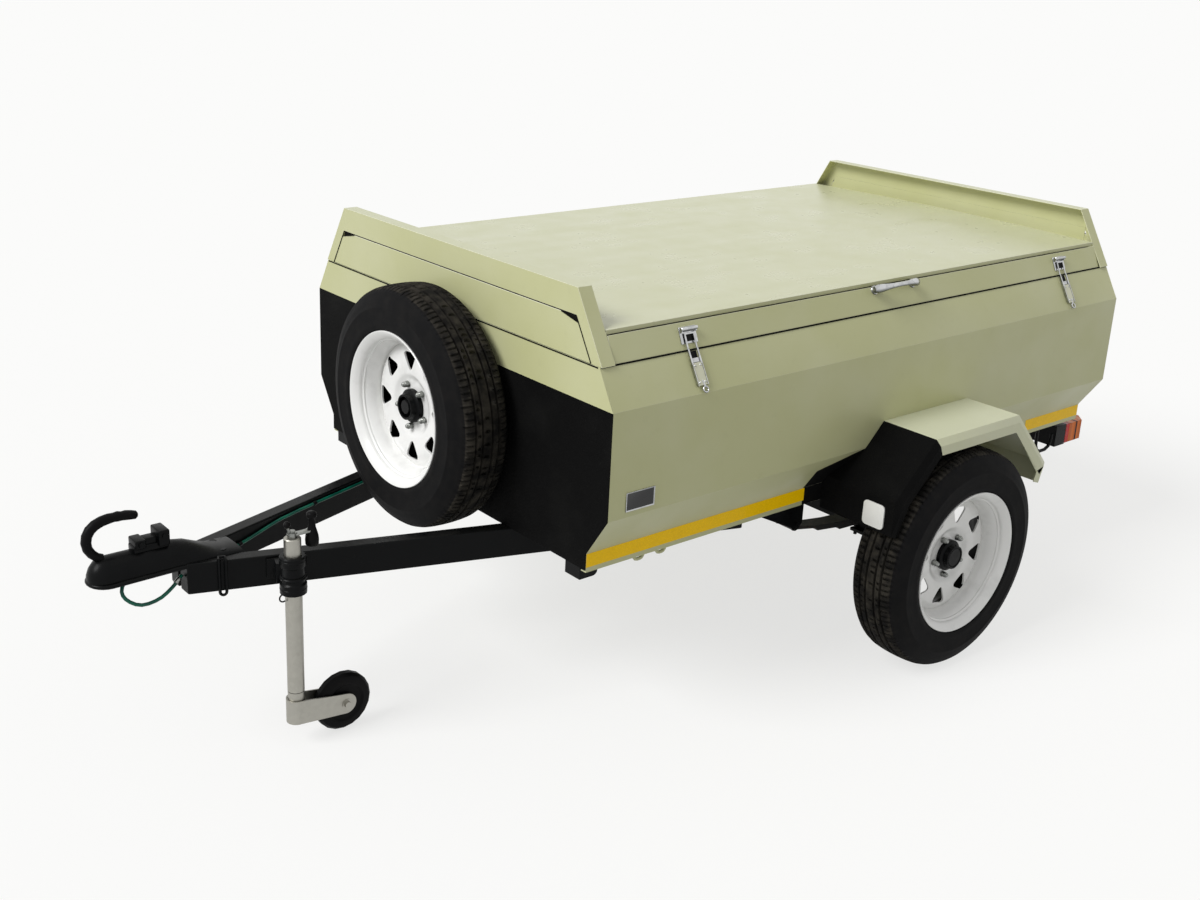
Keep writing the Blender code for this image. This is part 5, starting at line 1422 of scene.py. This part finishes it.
@dataclass
class Coupler:
    """The pressed ball coupler: a half-round channel, its release block and curled lever."""

    nose_x: float = -1.4040
    dome_x: float = -1.3650
    dome_steps: tuple[int, ...] = (12, 26, 42, 60, 76, 90)
    channel_end: float = -1.2205
    tail: tuple[tuple[float, float, float, float], ...] = (
        (-1.195, 0.0385, 0.044, 0.4262), (-1.165, 0.0410, 0.028, 0.4285),
        (-1.135, 0.0440, 0.012, 0.4308), (-1.0810, 0.0455, 0.0045, 0.4312))
    half: float = 0.0370
    height: float = 0.0500
    base_z: float = 0.4250
    lip: float = 0.0048
    lever_radius: float = 0.0098
    lever_route: tuple[Spot, ...] = (
        (-1.3700, 0.4720, 0.95), (-1.3800, 0.4765, 0.95), (-1.3900, 0.4860, 1.0), (-1.3975, 0.4985, 1.05),
        (-1.3998, 0.5120, 1.1), (-1.3975, 0.5260, 1.12), (-1.3905, 0.5380, 1.14), (-1.3800, 0.5465, 1.14),
        (-1.3660, 0.5520, 1.12), (-1.3520, 0.5545, 1.1), (-1.3400, 0.5550, 1.0), (-1.3320, 0.5552, 1.1),
        (-1.3240, 0.5542, 0.98), (-1.3160, 0.5540, 1.06), (-1.3040, 0.5520, 1.0), (-1.2950, 0.5500, 0.9),
        (-1.2915, 0.5492, 0.55))

    def build(self) -> None:
        """Makes the channel, the release block and the lever."""
        self.channel()
        self.release()
        self.lever()

    def channel(self) -> None:
        """Half-round rings, bridged from the domed nose to the flat tail, with a curled lip below."""
        reach = self.dome_x - self.nose_x
        rings = [(self.dome_x - reach * math.cos(a), self.half * math.sin(a), self.height * math.sin(a),
                  self.base_z) for a in map(math.radians, self.dome_steps)]
        rings += [(self.channel_end, self.half, self.height, self.base_z), *self.tail]
        work = bmesh.new()
        behind = None
        for index, (x, wide, tall, base) in enumerate(rings):
            ring = bmesh.ops.create_circle(work, cap_ends=index in (0, len(rings) - 1), segments=40,
                                           radius=1.0)["verts"]
            for vert in ring:
                vert.co = Vector((x, vert.co.x * wide, base + max(vert.co.y, -0.08) * tall))
            behind = bridge(work, ring, behind)
        self.curled_lip(work, reach - 0.003)
        for x, z in ((-1.178, 0.436), (-1.120, 0.431)):
            for side in (-1, 1):
                foot = Vector((x, side * 0.024, z))
                add_rod(work, foot, foot + Vector((0, 0, 0.0085)), 0.0085, 6)
        Piece("coupler_body_painted", Body.TRAILER, BLACK, ("coupler_body",)).finish_mesh(work)

    def curled_lip(self, work: Work, reach: float) -> None:
        """Adds the lip along the channel's lower edge and round its nose.

        Args:
            work: The coupler's mesh.
            reach: How far it goes round ahead of the dome's middle.
        """
        start, wide, low = self.channel_end + 0.02, self.half + 0.002, self.base_z - 0.002
        line = [Vector((start, -self.half - 0.001, self.base_z)), Vector((self.dome_x, -wide, low))]
        for turn in range(1, 12):
            angle = math.pi * turn / 12
            line.append(Vector((self.dome_x - reach * math.sin(angle), -wide * math.cos(angle), low)))
        line += [Vector((self.dome_x, wide, low)), Vector((start, self.half + 0.001, self.base_z))]
        add_sweep(work, line, (self.lip,), 12)

    def release(self) -> None:
        """The sliding release: a low base, a small front block and a taller rear one with bolt heads."""
        work = bmesh.new()
        for low, high in (((-1.3085, -0.0165, 0.4690), (-1.2330, 0.0165, 0.4850)),
                          ((-1.3060, -0.0205, 0.4790), (-1.2830, 0.0205, 0.4985)),
                          ((-1.2860, -0.0130, 0.4810), (-1.2500, 0.0130, 0.4975)),
                          ((-1.2570, -0.0230, 0.4760), (-1.2330, 0.0230, 0.5110))):
            add_box(work, low, high)
        round_edges(work, 0.0032, 3)
        for x, z in ((-1.2450, 0.4985), (-1.2945, 0.4890)):
            for side in (-1, 1):
                foot = Vector((x, side * 0.0200, z))
                add_rod(work, foot, foot + Vector((0, side * 0.0060, 0)), 0.0060, 6)
        Piece("coupler_release_painted", Body.TRAILER, BLACK, ("coupler_release",)).finish_mesh(work)

    def lever(self) -> None:
        """The lever's curl from the nose up and back over itself, in a thick plastic coat."""
        work = bmesh.new()
        add_sweep(work, [Vector((x, 0, z)) for x, z, _ in self.lever_route],
                  [self.lever_radius * share for _, _, share in self.lever_route], 16)
        Piece("coupler_lever_coated", Body.TRAILER, MOULDED, ("coupler_lever",), (), 50.0,
              "black_paint").finish_mesh(work)


@dataclass
class JockeyWheel:
    """The jockey wheel: clamp, tube, crank, strap fork and solid wheel."""

    x: float = -1.505 + AXLE_X
    y: float = -0.15919
    hub_x: float = -0.9135
    hub_z: float = 0.0685
    rib_heights: Spot = (0.377, 0.402, 0.442)
    crank_z: float = 0.4925
    strap: float = 0.0035
    strap_radius: float = 0.0225
    strap_low: float = 0.0560
    strap_high: float = 0.1120
    eye_radius: float = 0.024
    grip_reach: float = 0.0460

    def build(self) -> None:
        """Makes the pieces from the top down."""
        PressedPart("jockey_clamp_painted", Body.TRAILER, BLACK, ("jockey_clamp",)).build()
        self.clamp_ribs()
        PressedPart("jockey_tube_galvanised", Body.JOCKEY_LEG, GALVANISED, ("jockey_tube",),
                    edge=0.0008).build()
        self.crank()
        self.fork()
        PressedPart("jockey_wheel_rubber", Body.JOCKEY_ROLLER, MOULDED, ("jockey_wheel",),
                    edge=0.0012).build()

    def clamp_ribs(self) -> None:
        """Cast ribs round the clamp, and the open safety ring below it."""
        work = bmesh.new()
        for z in self.rib_heights:
            add_ring(work, Matrix.Translation((self.x, self.y, z)), 0.0255, 0.0040, math.tau * 0.999, 32)
        add_ring(work, turned((self.x - 0.0245, self.y, 0.3580), 90), 0.0085, 0.0017, math.radians(300))
        Piece("jockey_clamp_ribs", Body.TRAILER, BLACK).finish_mesh(work)

    def crank(self) -> None:
        """The spindle's nut and head, the crank's arm, its turned grip and the small knob."""
        work = bmesh.new()
        top = Vector((self.x, self.y, self.crank_z))
        end_x = self.x + self.grip_reach
        nut_top, head_top = (top + Vector((0, 0, up)) for up in (0.0110, 0.0150))
        add_rod(work, top, nut_top, 0.0105, 6)
        add_rod(work, nut_top, head_top, 0.0060, 16)
        arm = add_box(work, (self.x - 0.010, self.y - 0.0075, 0.4955),
                      (end_x + 0.004, self.y + 0.0075, 0.5005))
        bevel(work, list({edge for vert in arm for edge in vert.link_edges}), 0.0012, 2)
        knob_stem = ((-0.005, 0, 0.006), (-0.0085, 0, 0.018), (-0.0110, 0, 0.026))
        add_sweep(work, [top + Vector(step) for step in knob_stem], (0.0034,), 10)
        Piece("jockey_crank_plated", Body.JOCKEY_LEG, ZINC, ("jockey_crank",)).finish_mesh(work)
        grip = section_spun([(0.0, 0.4640), (0.0120, 0.4640), (0.0142, 0.4665), (0.0148, 0.4760),
                             (0.0138, 0.4860), (0.0112, 0.4960), (0.0088, 0.5040), (0.0074, 0.5130),
                             (0.0070, 0.5210), (0.0078, 0.5260), (0.0108, 0.5285), (0.0116, 0.5320),
                             (0.0108, 0.5365), (0.0080, 0.5395), (0.0, 0.5405)], 28)
        bmesh.ops.translate(grip, vec=(end_x, self.y, 0), verts=grip.verts)
        bmesh.ops.create_uvsphere(grip, u_segments=18, v_segments=10, radius=0.0078,
                                  matrix=Matrix.Translation(top + Vector((-0.0118, 0, 0.0300))))
        Piece("jockey_crank_grip", Body.JOCKEY_LEG, MOULDED, (), (), 50.0).finish_mesh(grip)

    def fork(self) -> None:
        """One strap bent round the tube's foot, its two arms, the axle bolt and the swivel's core."""
        work = bmesh.new()
        inner, outer = self.strap_radius - self.strap, self.strap_radius
        middle = (outer + inner) / 2
        near, far = middle - self.strap / 2, middle + self.strap / 2
        bar = [work.verts.new((x, 0, z)) for x, z in (
            (near, self.strap_low), (near, self.strap_high), (far, self.strap_high), (far, self.strap_low))]
        bmesh.ops.spin(work, geom=[*bar, *work.edges, work.faces.new(bar)], cent=(0, 0, 0), axis=(0, 0, 1),
                       angle=math.pi, steps=24, use_merge=False)
        bmesh.ops.transform(work, matrix=turned((self.x, self.y, 0), 90, "Z"), verts=work.verts)
        for side in (-1, 1):
            points = []
            for y in (self.y + out for out in spread(side, inner, outer)):
                points += bmesh.ops.create_circle(work, cap_ends=False, segments=36, radius=self.eye_radius,
                                                  matrix=turned((self.hub_x, y, self.hub_z), 90))["verts"]
                for z in (self.strap_low, self.strap_high):
                    points += bmesh.ops.create_vert(work, co=(self.x, y, z))["vert"]
            add_hull(work, points)
            ends = [Vector((self.hub_x, self.y + side * outer + side * step, self.hub_z))
                    for step in (-0.0005, 0.0015, 0.0075)]
            add_rod(work, ends[0], ends[1], 0.0115, 24)
            add_rod(work, ends[1], ends[2], 0.0078, 6)
        add_rod(work, Vector((self.x, self.y, 0.0580)), Vector((self.x, self.y, 0.1300)), 0.0182, 32)
        Piece("jockey_fork_galvanised", Body.JOCKEY_SWIVEL, GALVANISED, ("jockey_fork",), (),
              40.0).finish_mesh(work)


@dataclass
class Lamps:
    """The tail lamps' banded lenses and the rope hooks under the sills."""

    bands: Spot = (1.3120, 1.3450, 1.3520)
    hook_top: float = 0.4258 + 0.003
    lug_runs: tuple[Point, ...] = ((-0.866, -0.840), (-0.800, -0.775))
    rear_hook: tuple[Point, ...] = ((0.675, 0.400), (0.6760, 0.372), (0.6840, 0.3560), (0.7000, 0.3485),
                                    (0.7250, 0.3485), (0.7420, 0.3560), (0.7500, 0.3710), (0.7510, 0.3920))

    def build(self) -> None:
        """Makes the lenses, then the hooks."""
        for side, _ in SIDES:
            self.lens(side)
        self.lugs()
        self.rear_hooks()

    def lens(self, side: str) -> None:
        """One lens in red, amber, a black divider and amber.

        Args:
            side: Which lamp.
        """
        first, second, third = self.bands

        def split(work: Work) -> None:
            """Cuts the lens where its bands meet."""
            for x in self.bands:
                cut(work, (x, 0, 0), (1, 0, 0))

        bands = (Patch(RED_LENS, lambda centre, normal: centre.x < first),
                 Patch(MOULDED, lambda centre, normal: second < centre.x < third))
        PressedPart(f"lamp_{side}_lens", Body.TRAILER, AMBER_LENS, (f"lamp_lens_{side}",), bands,
                    edge=0.0015).build(split)

    def lugs(self) -> None:
        """Two bent-rod rope lugs ahead of each wheel."""
        work = bmesh.new()
        for side in (-1, 1):
            for first, last in ((start + AXLE_X, end + AXLE_X) for start, end in self.lug_runs):
                loop = [(first, self.hook_top), (first, 0.4190), (first + 0.004, 0.4145),
                        (first + 0.009, 0.4130), (last - 0.009, 0.4130), (last - 0.004, 0.4145),
                        (last, 0.4190), (last, self.hook_top)]
                add_sweep(work, [Vector((x, side * 0.520, z)) for x, z in loop], (0.0040,), 10)
        Piece("rope_lugs", Body.TRAILER, KHAKI).finish_mesh(work)

    def rear_hooks(self) -> None:
        """One long bent-rod rope hook behind each wheel."""
        work = bmesh.new()
        hook = ((0.675, self.hook_top), *self.rear_hook)
        for side in (-1, 1):
            add_sweep(work, [Vector((x + AXLE_X, side * 0.518, z)) for x, z in hook], (0.0048,), 12)
        Piece("rear_rope_hooks", Body.TRAILER, BLACK).finish_mesh(work)


@dataclass
class Ironwork:
    """Chassis, drawbar, running gear and hinge in their paint and plating."""

    black: tuple[tuple[str, float], ...] = (
        ("axle_beam", 0.0012), ("chassis_rail_left", 0.0012), ("chassis_rail_right", 0.0012),
        ("cross_member_front", 0.0025), ("cross_member_middle", 0.0025), ("cross_member_rear", 0.0025),
        ("drawbar_left", 0.0035), ("drawbar_right", 0.0035), ("rear_beam", 0.0025),
        ("safety_hook", 0.0), ("spare_carrier", 0.001))

    def build(self) -> None:
        """Dresses each node by the table."""
        for name, edge in self.black:
            PressedPart(f"{name}_painted", Body.TRAILER, BLACK, (name,), edge=edge).build()
        for side, body in (("left", Body.WHEEL_LEFT), ("right", Body.WHEEL_RIGHT)):
            PressedPart(f"hub_{side}_painted", body, BLACK, (f"hub_{side}",), edge=0.0012).build()
            PressedPart(f"leaf_spring_{side}_steel", Body.TRAILER, LEAF, (f"leaf_spring_{side}",)).build()
        for part, body in (("tub", Body.TRAILER), ("lid", Body.LID)):
            PressedPart(f"hinge_leaf_{part}_plated", body, ZINC, (f"hinge_leaf_{part}",), edge=0.0004).build()


def main() -> None:
    """Builds the camera, the cord, the sub-assemblies and the studio, in that order."""
    bpy.context.scene.view_settings.view_transform = "Standard"
    Viewpoint().build()
    SafetyCable().build()
    for wheel in (RoadWheel("left", Body.WHEEL_LEFT, (AXLE_X, -0.718, 0.283), 180.0, window_phase=-10.0),
                  RoadWheel("right", Body.WHEEL_RIGHT, (AXLE_X, 0.718, 0.283), 0.0),
                  RoadWheel("spare", Body.TRAILER, (-1.015 - 0.006 - 0.074 + AXLE_X, 0.0, 0.665), 90.0)):
        wheel.build()
    for assembly in (Bodywork(), Fittings(), Ironwork(), Coupler(), JockeyWheel(), Lamps(), Studio()):
        assembly.build()


if __name__ == "__main__":
    main()
